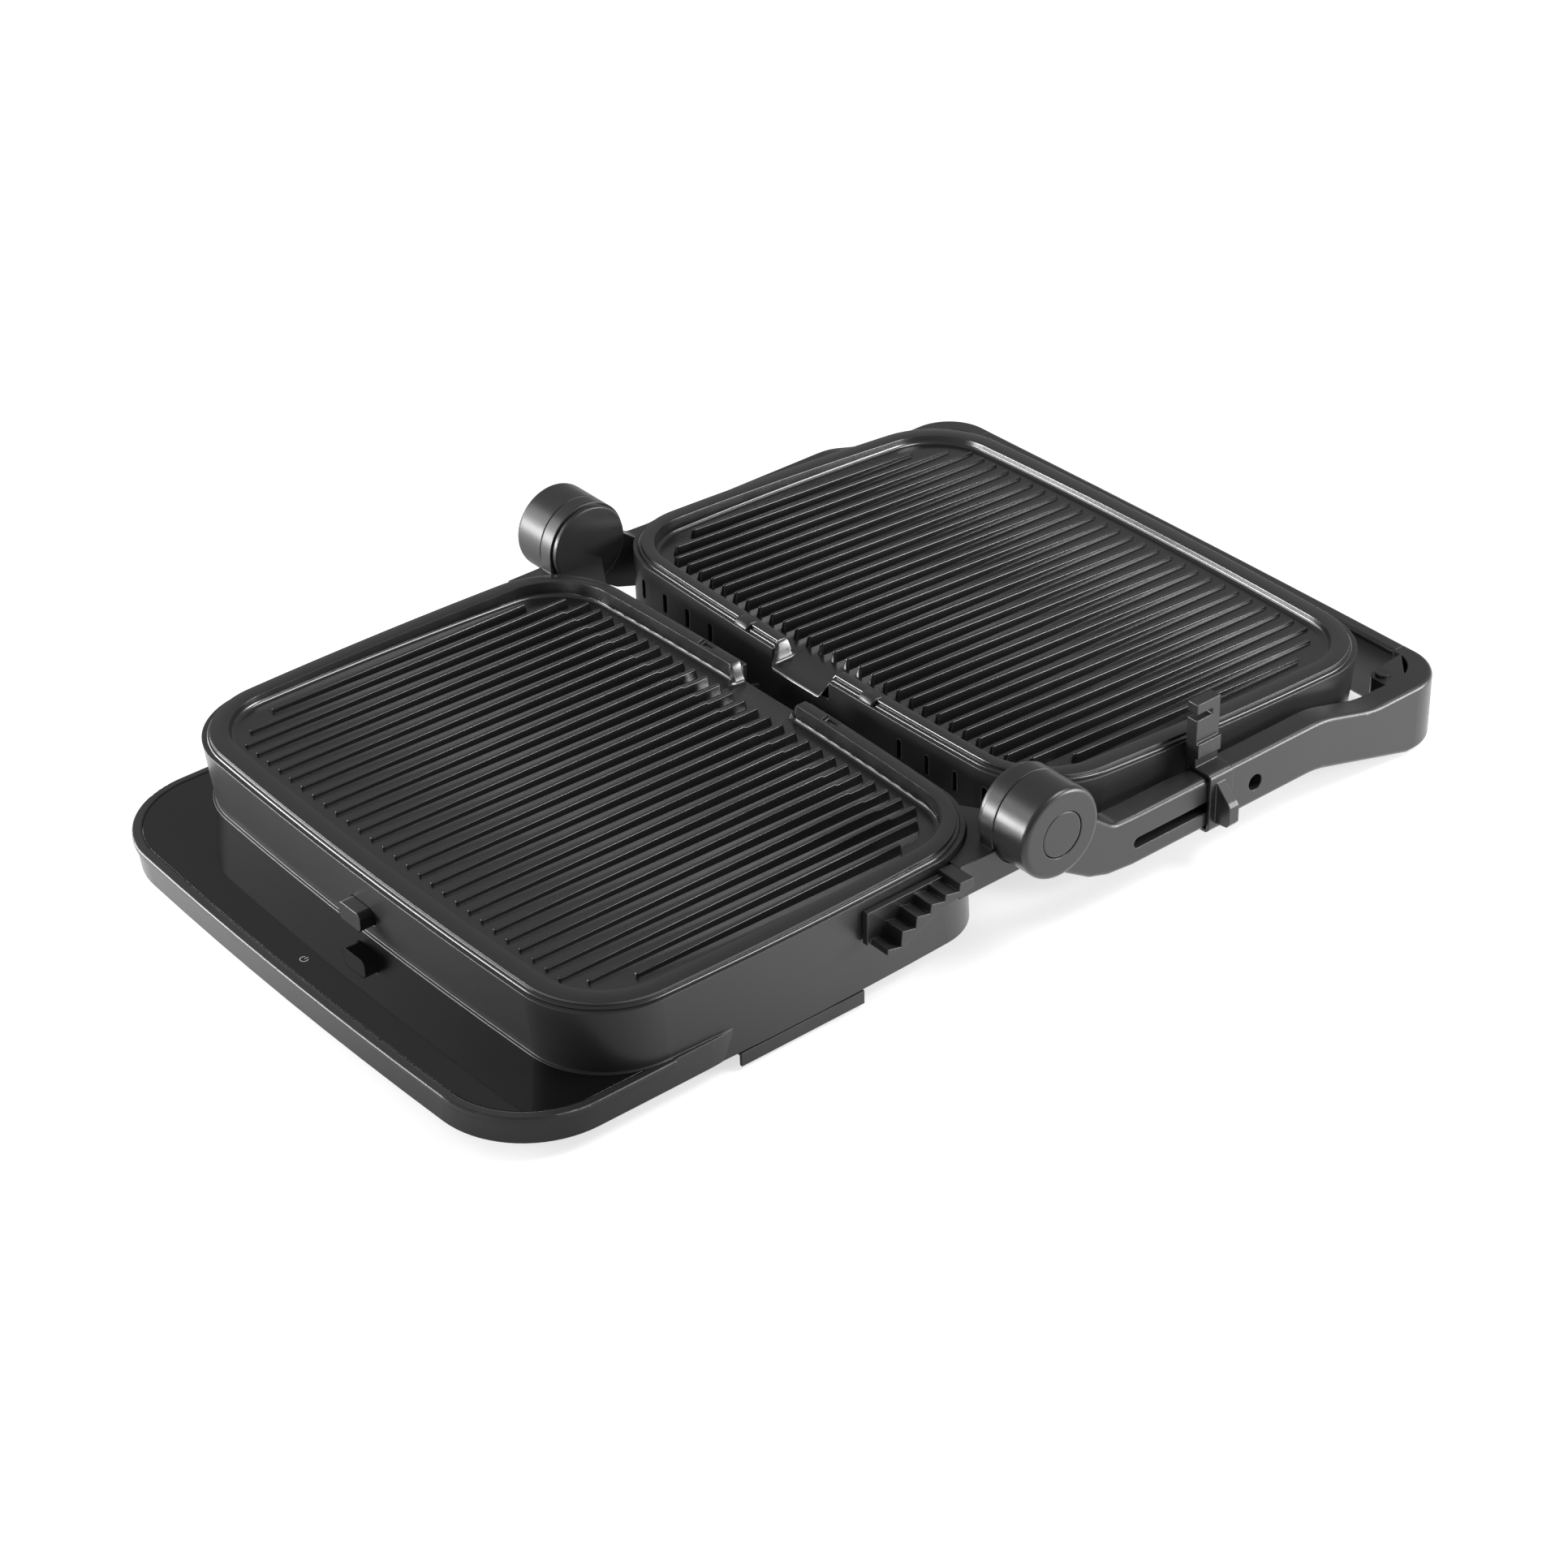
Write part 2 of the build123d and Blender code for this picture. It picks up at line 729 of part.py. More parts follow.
def hung_reflector(plane):
    """Sheet dish on the housing ledge, under the element of one plate."""
    flange = housing_outline(-wall - reflector_fit, 0)
    dish = housing_outline(-wall - ledge_width - reflector_fit, front_lean)
    dish_inner = housing_outline(-wall - ledge_width - reflector_fit - reflector_sheet, front_lean)
    with BuildPart() as pan:
        with BuildSketch(plane.offset(-ledge_drop + 0.1)):
            add(flange)
        extrude(amount=reflector_sheet)
        with BuildSketch(plane.offset(-ledge_drop - reflector_depth)):
            add(dish)
        extrude(amount=reflector_depth + 0.5)
        with BuildSketch(plane.offset(-ledge_drop - reflector_depth + reflector_sheet)):
            add(dish_inner)
        extrude(amount=reflector_depth + 5, mode=Mode.SUBTRACT)
        with BuildSketch(plane.offset(-ledge_drop - 6)):
            with Locations((0, housing_half_length - 8)):
                Rectangle(2 * spout_inner_half + 2 * spout_wall + 4, 16)
        extrude(amount=10, mode=Mode.SUBTRACT)
        with BuildSketch(plane.offset(-ledge_drop)):
            with Locations((-catch_x, housing_half_length - 4), (catch_x, housing_half_length - 4)):
                Rectangle(catch_width + 2, 5.6)
        extrude(amount=10, mode=Mode.SUBTRACT)
        with BuildSketch(plane.offset(-ledge_drop - reflector_depth - 1)):
            with Locations((-element_leg_x, element_half_v), (element_leg_x, element_half_v)):
                Circle(element_tube / 2 + 0.25)
            with Locations((thermostat_x, 0)):
                Circle(sensor_radius + 0.25)
        extrude(amount=5, mode=Mode.SUBTRACT)
    return pan.part


def tube_element(plane):
    """Tube heating element running round under one plate."""
    under_floor = floor_thick + element_tube / 2 + element_gap
    sloped = plane.offset(-floor_mid).rotated((-floor_slope, 0, 0)).offset(-under_floor)
    with BuildPart() as tube:
        with BuildLine(sloped) as path:
            FilletPolyline(
                (-element_leg_x, element_half_v),
                (-element_half_x, element_half_v),
                (-element_half_x, -element_half_v),
                (element_half_x, -element_half_v),
                (element_half_x, element_half_v),
                (element_leg_x, element_half_v),
                radius=element_bend,
            )
        with BuildSketch(Plane(origin=path.line @ 0, z_dir=path.line % 0)):
            Circle(element_tube / 2)
        sweep()
        with BuildSketch(plane.offset(-ledge_drop - reflector_depth - 6)):
            with Locations((-element_leg_x, element_half_v), (element_leg_x, element_half_v)):
                Circle(element_tube / 2)
        extrude(amount=6 + ledge_drop + reflector_depth - floor_mid - floor_thick - element_tube / 2 - 0.2)
    return tube.part


def disc_thermostat(plane):
    """Disc thermostat under the reflector, its sensor reaching the plate."""
    with BuildPart() as disc:
        with BuildSketch(plane.offset(-ledge_drop - reflector_depth - 0.2)):
            with Locations((thermostat_x, 0)):
                Circle(thermostat_radius)
        extrude(amount=-thermostat_height)
        with BuildSketch(plane.offset(-ledge_drop - reflector_depth - 0.3)):
            with Locations((thermostat_x, 0)):
                Circle(sensor_radius)
        extrude(amount=ledge_drop + reflector_depth + 0.3 - floor_mid - floor_thick - 0.3)
        with BuildSketch(plane.offset(-ledge_drop - reflector_depth - thermostat_height - 0.2)):
            with Locations((thermostat_x - blade_spread, 0), (thermostat_x + blade_spread, 0)):
                Rectangle(blade_thick, blade_width)
        extrude(amount=-blade_length)
    return disc.part


def rear_catches(plane, top):
    """Pair of hooks in the slots of one plate's hinge-side rim."""
    with BuildPart() as hooks:
        with BuildSketch(plane.offset(-ledge_drop + 0.2)):
            with Locations((-catch_x, catch_v), (catch_x, catch_v)):
                Rectangle(catch_width, catch_depth)
        extrude(amount=ledge_drop - 0.2 + top)
    return hooks.part


for name, plane in (("lower", lower), ("upper", lid)):
    reflector = hung_reflector(plane)
    reflector.label = name + "_reflector"
    export_step(reflector, "parts/" + name + "_reflector.step")
    element = tube_element(plane)
    element.label = name + "_heating_element"
    export_step(element, "parts/" + name + "_heating_element.step")
    thermostat = disc_thermostat(plane)
    thermostat.label = name + "_thermostat"
    export_step(thermostat, "parts/" + name + "_thermostat.step")

lower_catches = rear_catches(lower, lower_catch_top)
lower_catches.label = "lower_plate_catches"
export_step(lower_catches, "parts/lower_plate_catches.step")

upper_catches = rear_catches(lid, upper_catch_top)
upper_catches.label = "upper_plate_catches"
export_step(upper_catches, "parts/upper_plate_catches.step")

# Lid housing, drawn as it lies folded back with its outside facing down
lid_floor = housing_outline(-lid_draft, 0)
lid_hollow = inside_cut(lid, wall - lid_depth, -ledge_drop, 4, lid_draft, 0)

with BuildPart() as upper_shell:
    with BuildSketch(lid.offset(-lid_depth)):
        add(lid_floor)
    with BuildSketch(lid.offset(-housing_rim_drop)):
        add(lid_rim)
    loft()
    low_edges = upper_shell.edges().filter_by(lambda e: lid.to_local_coords(e.center()).Z < 1 - lid_depth)
    fillet(low_edges, lid_edge)
    add(lid_hollow, mode=Mode.SUBTRACT)
    with BuildSketch(lid.offset(-spout_deep - spout_wall - 0.5)):
        with Locations((0, housing_half_length - 3)):
            Rectangle(2 * upper_outlet_half + 2 * spout_wall + 4, 16)
    extrude(amount=20, mode=Mode.SUBTRACT)
    with BuildSketch(Plane.YZ.offset(-200)):
        with Locations((pivot_y, slot_z)):
            Circle(pivot_radius - pivot_fit + 0.06)
    extrude(amount=400, mode=Mode.SUBTRACT)
    with BuildSketch(Plane(lid.from_local_coords((0, 0, button_h)), lid.x_dir, -lid.y_dir)):
        RectangleRounded(button_hole_width, button_hole_height, button_corner + button_fit)
    extrude(amount=housing_half_length + 5, mode=Mode.SUBTRACT)
    with BuildSketch(Plane(lid.from_local_coords((0, 0, vent_h)), lid.x_dir, lid.y_dir)):
        for side in (-1, 1):
            with GridLocations(vent_pitch, 0, vent_count, 1):
                with Locations((side * vent_x, 0)):
                    RectangleRounded(vent_width, vent_height, vent_width / 2 - 0.05)
    extrude(amount=housing_half_length + 5, mode=Mode.SUBTRACT)
upper_shell.part.label = "upper_shell"
export_step(upper_shell.part, "parts/upper_shell.step")

with BuildPart() as lid_pivots:
    with BuildSketch(Plane.YZ.offset(arm_outer_x - 5)):
        with Locations((pivot_y, slot_z)):
            Circle(pivot_radius - pivot_fit)
    extrude(amount=-18)
    with BuildSketch(Plane.YZ.offset(arm_outer_x - 23.2)):
        with Locations((pivot_y, slot_z)):
            Circle(pivot_radius + 3)
    extrude(amount=-2)
    with BuildSketch(Plane.YZ.offset(arm_outer_x - 23.3)):
        with Locations((pivot_y, slot_z)):
            Circle(pivot_radius - 1)
    extrude(amount=3)
    mirror(about=Plane.YZ)
lid_pivots.part.label = "lid_pivots"
export_step(lid_pivots.part, "parts/lid_pivots.step")

# Hinge brackets at the rear corners of the base, with the fixed pod halves
with BuildPart() as right_bracket:
    with BuildSketch(Plane.XY.offset(bracket_bottom)):
        with BuildLine():
            Polyline(
                (bracket_inner_x, bracket_front),
                (bracket_outer_x, bracket_front),
                (bracket_outer_x, hinge_y + bracket_tail),
                (pod_inner_x, hinge_y + bracket_tail),
                (bracket_inner_x, rear_wall_y - wall),
                close=True,
            )
        make_face()
    extrude(amount=bracket_top - bracket_bottom)
    with BuildSketch(Plane.YZ.offset(pod_inner_x)):
        with Locations((hinge_y, hinge_z)):
            Circle(pod_radius)
        with Locations((hinge_y - pod_radius / 2, (hinge_z + bracket_top) / 2 - 1)):
            Rectangle(pod_radius, hinge_z - bracket_top + 2)
    extrude(amount=pod_split_x - pod_inner_x)
    add(lower_walls_clear, mode=Mode.SUBTRACT)
    with BuildSketch(Plane.YZ.offset(pod_split_x - 20)):
        with Locations((hinge_y, hinge_z)):
            Circle(hinge_pin / 2 + pin_fit)
    extrude(amount=40, mode=Mode.SUBTRACT)
    with BuildSketch(Plane.YZ.offset(pod_split_x)):
        with Locations((hinge_y, hinge_z)):
            Circle(pod_radius + 0.6)
    extrude(amount=10, mode=Mode.SUBTRACT)
right_bracket.part.label = "right_hinge_bracket"
export_step(right_bracket.part, "parts/right_hinge_bracket.step")

left_bracket = mirror(right_bracket.part, about=Plane.YZ)
left_bracket.label = "left_hinge_bracket"
export_step(left_bracket, "parts/left_hinge_bracket.step")

with BuildPart() as hinge_pins:
    with BuildSketch(Plane.YZ.offset(pod_inner_x - 0.2)):
        with Locations((hinge_y, hinge_z)):
            Circle(hinge_pin / 2)
    extrude(amount=pin_end_x - pod_inner_x)
    with BuildSketch(Plane.YZ.offset(pod_inner_x - 0.2)):
        with Locations((hinge_y, hinge_z)):
            Circle(hinge_pin / 2 + pin_head_wall)
    extrude(amount=-pin_head_thick)
    mirror(about=Plane.YZ)
hinge_pins.part.label = "hinge_pins"
export_step(hinge_pins.part, "parts/hinge_pins.step")

with BuildPart() as hinge_bushes:
    with BuildSketch(Plane.YZ.offset(pod_split_x + pod_split_gap)):
        with Locations((hinge_y, hinge_z)):
            Circle(hinge_pin / 2 + bush_wall)
            Circle(hinge_pin / 2 + pin_fit, mode=Mode.SUBTRACT)
    extrude(amount=pin_end_x - pod_split_x - pod_split_gap)
    mirror(about=Plane.YZ)
hinge_bushes.part.label = "hinge_bushes"
export_step(hinge_bushes.part, "parts/hinge_bushes.step")


corner_start_y = handle_outer_y - handle_corner
corner_end_x = arm_outer_x - handle_corner
grip_inner_y = handle_outer_y - handle_thick


def outer_edge(edge):
    """True for the long edges round the outside of the arm and handle corner."""
    middle = edge @ 0.5
    from_corner = math.hypot(middle.X - corner_end_x, middle.Y - corner_start_y)
    outside = middle.X > arm_outer_x - 0.01 or middle.Y > handle_outer_y - 0.01
    on_arc = abs(from_corner - handle_corner) < 0.01 and middle.X > corner_end_x and middle.Y > corner_start_y
    upright = abs((edge % 0.5).Z) > 0.99
    return (outside or on_arc) and not upright and middle.Y > hinge_y + 30


def lid_arm(with_slot):
    """Right arm of the lid frame with the outer pod half and handle corner."""
    with BuildPart() as arm:
        with BuildSketch(Plane.YZ.offset(arm_inner_x)):
            with BuildLine():
                Polyline(
                    (hinge_y + 4, hinge_z + 10),
                    (hinge_y + 20, hinge_z + 4),
                    (hinge_y + 27, hinge_z - 7),
                    (hinge_y + 38, arm_top + 0.5),
                    (hinge_y + 52, arm_top),
                    (handle_outer_y - 87, arm_top),
                    (handle_outer_y - 54, handle_top),
                    (corner_start_y, handle_top),
                    (corner_start_y, handle_bottom),
                    (corner_start_y - 4.5, handle_bottom),
                    (handle_outer_y - 91, arm_bottom),
                    (hinge_y + 50, arm_bottom),
                    (hinge_y + 35, arm_bottom + 1.5),
                    (hinge_y + 24, arm_bottom + 5),
                    (hinge_y + 8, arm_bottom + 15),
                    (hinge_y - 6, hinge_z - 12),
                    close=True,
                )
            make_face()
        extrude(amount=arm_outer_x - arm_inner_x)
        across = arm.edges().filter_by(Axis.X)
        fillet(across.filter_by(lambda e: pivot_y < e.center().Y < corner_start_y - 8), arm_bend)
        across = arm.edges().filter_by(Axis.X)
        fillet(across.filter_by(lambda e: hinge_y + 22 < e.center().Y < pivot_y), elbow_bend)
        with BuildSketch(Plane.XY.offset(handle_bottom)):
            with BuildLine():
                RadiusArc((arm_outer_x, corner_start_y), (corner_end_x, handle_outer_y), -handle_corner)
                Polyline(
                    (corner_end_x, handle_outer_y),
                    (grip_half, handle_outer_y),
                    (grip_half, grip_inner_y),
                    (corner_end_x, grip_inner_y),
                )
                RadiusArc((corner_end_x, grip_inner_y), (arm_inner_x, corner_start_y), inner_corner)
                Polyline(
                    (arm_inner_x, corner_start_y),
                    (arm_inner_x, corner_start_y - 3),
                    (arm_outer_x, corner_start_y - 3),
                    (arm_outer_x, corner_start_y),
                )
            make_face()
            with Locations((handle_boss_x, handle_boss_y)):
                Circle(handle_boss_radius)
            with BuildLine():
                Polyline(
                    (arm_inner_x + 1, handle_boss_y - handle_boss_radius),
                    (handle_boss_x, handle_boss_y - handle_boss_radius),
                    (handle_boss_x - handle_boss_radius, handle_boss_y),
                    (corner_end_x - 2, grip_inner_y + 1),
                    (arm_inner_x + 1, corner_start_y + 2),
                    close=True,
                )
            make_face()
        extrude(amount=handle_top - handle_bottom)
        fillet(arm.edges().filter_by(outer_edge), arm_round)
        with BuildSketch(Plane.YZ.offset(pod_split_x + pod_split_gap)):
            with Locations((hinge_y, hinge_z)):
                Circle(pod_radius)
        extrude(amount=pod_outer_x - pod_split_x - pod_split_gap)
        fillet(arm.edges().filter_by(GeomType.CIRCLE).group_by(Axis.X)[-1], 2.6)
        with BuildSketch(Plane.YZ.offset(pod_split_x)):
            with Locations((hinge_y, hinge_z)):
                Circle(hinge_pin / 2 + bush_wall + bush_fit)
        extrude(amount=pin_end_x - pod_split_x + 0.4, mode=Mode.SUBTRACT)
        with BuildSketch(Plane.YZ.offset(arm_inner_x - 5)):
            with Locations((pivot_y, slot_z)):
                Circle(pivot_radius)
            if with_slot:
                with Locations(((slot_start_y + slot_end_y) / 2, slot_z)):
                    SlotOverall(slot_end_y - slot_start_y, slot_height)
        extrude(amount=30, mode=Mode.SUBTRACT)
        if with_slot:
            with BuildSketch(Plane.YZ.offset(pod_outer_x + 1)):
                with Locations((hinge_y, hinge_z)):
                    Circle(release_radius + release_fit)
            extrude(amount=-release_depth - 1, mode=Mode.SUBTRACT)
        with BuildSketch(Plane.XY.offset(handle_top)):
            with Locations((handle_boss_x, handle_boss_y)):
                Circle(screw_shank / 2 + screw_fit)
        extrude(amount=-14, mode=Mode.SUBTRACT)
    return arm.part


right_arm = lid_arm(True)
right_arm.label = "right_arm"
export_step(right_arm, "parts/right_arm.step")

left_arm = mirror(lid_arm(False), about=Plane.YZ)
left_arm.label = "left_arm"
export_step(left_arm, "parts/left_arm.step")

grip_end_x = grip_half - handle_seam

with BuildPart() as handle_grip:
    with BuildSketch(Plane.XY.offset(handle_bottom)):
        with BuildLine():
            ThreePointArc(
                (-grip_end_x, handle_outer_y),
                (0, handle_outer_y + grip_bow),
                (grip_end_x, handle_outer_y),
            )
            Line((grip_end_x, handle_outer_y), (grip_end_x, grip_inner_y))
            ThreePointArc(
                (grip_end_x, grip_inner_y),
                (0, grip_inner_y + grip_bow),
                (-grip_end_x, grip_inner_y),
            )
            Line((-grip_end_x, grip_inner_y), (-grip_end_x, handle_outer_y))
        make_face()
    extrude(amount=handle_top - handle_bottom)
    fillet(handle_grip.edges().filter_by(lambda e: e.length > grip_half), arm_round)
handle_grip.part.label = "handle_grip"
export_step(handle_grip.part, "parts/handle_grip.step")

with BuildPart() as handle_screws:
    with BuildSketch(Plane.XY.offset(handle_top + 0.05)):
        with Locations((handle_boss_x, handle_boss_y)):
            Circle(screw_head / 2)
    extrude(amount=1.6)
    with BuildSketch(Plane.XY.offset(handle_top + 0.1)):
        with Locations((handle_boss_x, handle_boss_y)):
            Circle(screw_shank / 2)
    extrude(amount=-13)
    mirror(about=Plane.YZ)
handle_screws.part.label = "handle_screws"
export_step(handle_screws.part, "parts/handle_screws.step")

with BuildPart() as hinge_release_button:
    with BuildSketch(Plane.YZ.offset(pod_outer_x)):
        with Locations((hinge_y, hinge_z)):
            Circle(release_radius)
    extrude(amount=release_travel + release_slack - release_depth)
    fillet(hinge_release_button.edges().group_by(Axis.X)[-1], release_edge)
hinge_release_button.part.label = "hinge_release_button"
export_step(hinge_release_button.part, "parts/hinge_release_button.step")

# Clip sliding along the right arm, its leg stands on the stairs when closed
band_in = arm_inner_x - clip_fit
band_out = arm_outer_x + clip_fit
band_low = arm_bottom - clip_fit
band_high = arm_top + clip_fit

with BuildPart() as height_clip:
    with BuildSketch(Plane.XZ.offset(-clip_y - clip_width / 2)):
        with BuildLine():
            Polyline(
                (clip_leg_inner_x, band_low - clip_sheet),
                (band_out + clip_sheet, band_low - clip_sheet),
                (band_out + clip_sheet, band_high + clip_sheet),
                (clip_leg_inner_x, band_high + clip_sheet),
                close=True,
            )
        make_face()
    extrude(amount=clip_width)
    fillet(height_clip.edges().filter_by(Axis.Y).group_by(Axis.X)[-1], 3)
    with BuildSketch(Plane.XZ.offset(-clip_y - clip_width / 2)):
        with Locations(((band_in + band_out) / 2, (band_low + band_high) / 2)):
            Rectangle(band_out - band_in, band_high - band_low)
        with Locations((clip_leg_inner_x, slot_z)):
            Rectangle(6, 18)
    extrude(amount=clip_width, mode=Mode.SUBTRACT)
    with BuildSketch(Plane.YZ.offset(clip_leg_inner_x)):
        with BuildLine():
            Polyline(
                (clip_y - clip_width / 2, band_high),
                (clip_y + clip_width / 2, band_high),
                (clip_y + clip_width / 2, clip_leg_top),
                (clip_y - clip_width / 2, clip_leg_top),
                (clip_y - clip_width / 2, clip_leg_top - 5),
                (clip_y + 2.5, clip_leg_top - 5),
                (clip_y + 2.5, clip_leg_top - 8.2),
                (clip_y - clip_width / 2, clip_leg_top - 8.2),
                close=True,
            )
        make_face()
    extrude(amount=clip_leg_thick)
    with BuildSketch(Plane.YZ.offset(clip_leg_inner_x + clip_leg_thick)):
        with Locations((clip_y, band_high + 10.4)):
            Rectangle(clip_width, 7.6)
    extrude(amount=1.6)
    with BuildSketch(Plane.YZ.offset(band_out + 0.5)):
        with Locations((clip_y, slot_z)):
            Rectangle(clip_pin_length, slot_height - 0.6)
    extrude(amount=band_in - band_out + 0.6)
    with BuildSketch(Plane.XZ.offset(-clip_y - tab_width / 2 + 0.5)):
        with BuildLine():
            Polyline(
                (band_out + 0.5, slot_z + 12),
                (band_out + clip_sheet, slot_z + 12),
                (band_out + tab_reach, slot_z + 4.5),
                (band_out + tab_reach + 1.4, slot_z + 2.5),
                (band_out + tab_reach + 1.4, slot_z - 6),
                (band_out + tab_reach, slot_z - 8),
                (band_out + clip_sheet, slot_z - 9),
                (band_out + 0.5, slot_z - 9),
                close=True,
            )
        make_face()
    extrude(amount=tab_width)
height_clip.part.label = "height_clip"
export_step(height_clip.part, "parts/height_clip.step")

# Stairs that hold the lid at five heights above the food
stair_start = bracket_front - 0.3
top_points = []
for step, drop in enumerate(stair_drops):
    near = stair_start - step * stair_pitch
    top_points.append((near, stair_top - drop - (0.4 if step == 0 else stair_hook)))
    top_points.append((near - stair_pitch + 0.6, stair_top - drop))
low_points = [(top_points[-1][0], stair_bottom)]
for step, drop in reversed(list(enumerate(stair_drops))):
    near = stair_start - step * stair_pitch
    low_points.append((near + 1.5 if step else near, max(stair_top - drop - stair_ribbon, stair_bottom)))

with BuildPart() as stair_block:
    with BuildSketch(Plane.YZ.offset(stair_inner_x)):
        with BuildLine():
            Polyline(*top_points, *low_points, close=True)
        make_face()
    extrude(amount=stair_outer_x - stair_inner_x)
    with BuildSketch(Plane.YZ.offset(stair_inner_x)):
        with Locations(((stair_start + stair_front) / 2, (stair_bottom + bracket_top - 1.5) / 2)):
            Rectangle(stair_start - stair_front, bracket_top - 1.5 - stair_bottom)
    extrude(amount=stair_backing)
stair_block.part.label = "stair_block"
export_step(stair_block.part, "parts/stair_block.step")


def plate_release(plane, height):
    """Push button in the wall away from the hinge, with its stem inside."""
    face = -housing_half_length + front_lean - 1 - button_reach
    stem = height - button_height / 2 + stem_thick / 2 + button_fit
    with BuildPart() as button:
        with BuildSketch(Plane(plane.from_local_coords((0, face, height)), plane.x_dir, plane.y_dir)):
            RectangleRounded(button_width, button_height, button_corner)
        extrude(amount=button_reach + button_root)
        with BuildSketch(Plane(plane.from_local_coords((0, face, stem)), plane.x_dir, plane.y_dir)):
            Rectangle(stem_width, stem_thick)
        extrude(amount=button_reach + stem_length)
    return button.part


lower_release = plate_release(lower, button_h)
lower_release.label = "lower_release_button"
export_step(lower_release, "parts/lower_release_button.step")

upper_release = plate_release(lid, button_h)
upper_release.label = "upper_release_button"
export_step(upper_release, "parts/upper_release_button.step")

# Chute leading the fat from both spouts down to the drip tray. Behind its mouth
# it keeps low, so that the lid's lip can dip over it when the lid floats.
chute_front_y = rear_wall_y - chute_front
chute_ledge_y = rear_wall_y + chute_ledge
chute_back_y = rear_wall_y + chute_back
chute_mouth_z = lower_z - spout_deep - spout_wall - chute_gap
drain_front_y = drain_y - drain_opening / 3
drain_back_y = drain_y + drain_opening / 3
chute_end_z = foot_height - 0.2
chute_rise = 9.0

with BuildPart() as drain_chute:
    with BuildSketch(Plane.YZ.offset(-chute_half)):
        with BuildLine():
            Polyline(
                (chute_front_y, chute_mouth_z),
                (chute_ledge_y - 2, chute_mouth_z - 2.5),
                (chute_ledge_y, chute_ledge_z),
                (chute_back_y, chute_ledge_z - 1),
                (chute_back_y, chute_low + 6),
                (chute_ledge_y, chute_low),
                (drain_back_y, chute_end_z + 3.4),
                (drain_back_y, chute_end_z),
                (drain_front_y, chute_end_z),
                (drain_front_y, chute_end_z + 3.4 + chute_rise),
                (chute_front_y - 5, chute_low + chute_rise),
                (chute_front_y, chute_low + chute_rise + 1),
                close=True,
            )
        make_face()
    extrude(amount=2 * chute_half)
    with BuildSketch(Plane.YZ.offset(-chute_half + chute_sheet)):
        with BuildLine():
            Polyline(
                (chute_front_y + chute_sheet, lower_z),
                (chute_back_y - chute_sheet, lower_z),
                (chute_back_y - chute_sheet, chute_low + 6),
                (chute_ledge_y - chute_sheet / 2, chute_low + chute_sheet),
                (drain_back_y - chute_sheet, chute_end_z + 3.4 + chute_sheet),
                (drain_back_y - chute_sheet, 0),
                (drain_front_y + chute_sheet, 0),
                (drain_front_y + chute_sheet, chute_end_z + 3.4 + chute_rise - chute_sheet),
                (chute_front_y - 5, chute_low + chute_rise - chute_sheet),
                (chute_front_y + chute_sheet, chute_low + chute_rise + 1 - chute_sheet),
                close=True,
            )
        make_face()
    extrude(amount=2 * chute_half - 2 * chute_sheet, mode=Mode.SUBTRACT)
drain_chute.part.label = "drain_chute"
export_step(drain_chute.part, "parts/drain_chute.step")

with BuildPart() as touch_board:
    with BuildSketch(Plane.XY.offset(board_z)):
        with Locations((0, board_y)):
            Rectangle(touch_length, touch_width)
    extrude(amount=-board_thick)
    with BuildSketch(Plane.XY.offset(board_z - board_thick)):
        with Locations((-touch_length / 5, board_y), (touch_length / 4, board_y)):
            Rectangle(touch_width / 2, touch_width / 2.4)
    extrude(amount=-1.5 * board_thick)
touch_board.part.label = "touch_board"
export_step(touch_board.part, "parts/touch_board.step")

# Power board with its transformer, a relay and a capacitor
with BuildPart() as power_board:
    with BuildSketch(Plane.XY.offset(power_z)):
        with Locations((power_x, power_y)):
            Rectangle(power_length, power_width)
    extrude(amount=board_thick)
    with BuildSketch(Plane.XY.offset(power_z + board_thick)):
        with Locations((power_x - power_length / 4, power_y)):
            Rectangle(0.3 * power_length, 0.7 * power_width)
        with Locations((power_x + power_length / 6, power_y + power_width / 6)):
            Rectangle(0.22 * power_length, power_width / 2)
    extrude(amount=transformer_height)
    with BuildSketch(Plane.XY.offset(power_z + board_thick)):
        with Locations((power_x + 0.4 * power_length, power_y - power_width / 5)):
            Circle(power_width / 8)
    extrude(amount=transformer_height + 2)
power_board.part.label = "power_board"
export_step(power_board.part, "parts/power_board.step")

# Gland for the mains cord in the wall beside the hinge
with BuildPart() as cable_gland:
    with BuildSketch(Plane.XZ.offset(-rear_wall_y - 3)):
        with Locations((gland_x, gland_z)):
            Circle(gland_radius)
    extrude(amount=gland_length)
    with BuildSketch(Plane.XZ.offset(-rear_wall_y - 3)):
        with Locations((gland_x, gland_z)):
            Circle(gland_radius + gland_flange)
    extrude(amount=gland_flange)
    with BuildSketch(Plane.XZ.offset(-rear_wall_y - 4)):
        with Locations((gland_x, gland_z)):
            Circle(cord_bore)
    extrude(amount=2 * gland_length, mode=Mode.SUBTRACT)
cable_gland.part.label = "cable_gland"
export_step(cable_gland.part, "parts/cable_gland.step")
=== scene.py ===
"""Looks of an open contact grill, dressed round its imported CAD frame."""

import json
import math

import bmesh
import bpy
from mathutils import Matrix, Vector


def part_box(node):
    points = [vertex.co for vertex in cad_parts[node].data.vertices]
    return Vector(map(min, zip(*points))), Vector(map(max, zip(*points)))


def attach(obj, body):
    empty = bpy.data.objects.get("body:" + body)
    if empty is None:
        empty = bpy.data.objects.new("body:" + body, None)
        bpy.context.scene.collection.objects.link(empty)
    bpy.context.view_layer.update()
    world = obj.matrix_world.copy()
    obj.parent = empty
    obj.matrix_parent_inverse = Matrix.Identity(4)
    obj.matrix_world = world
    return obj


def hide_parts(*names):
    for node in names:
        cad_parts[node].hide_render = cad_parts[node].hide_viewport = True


MM = 0.001

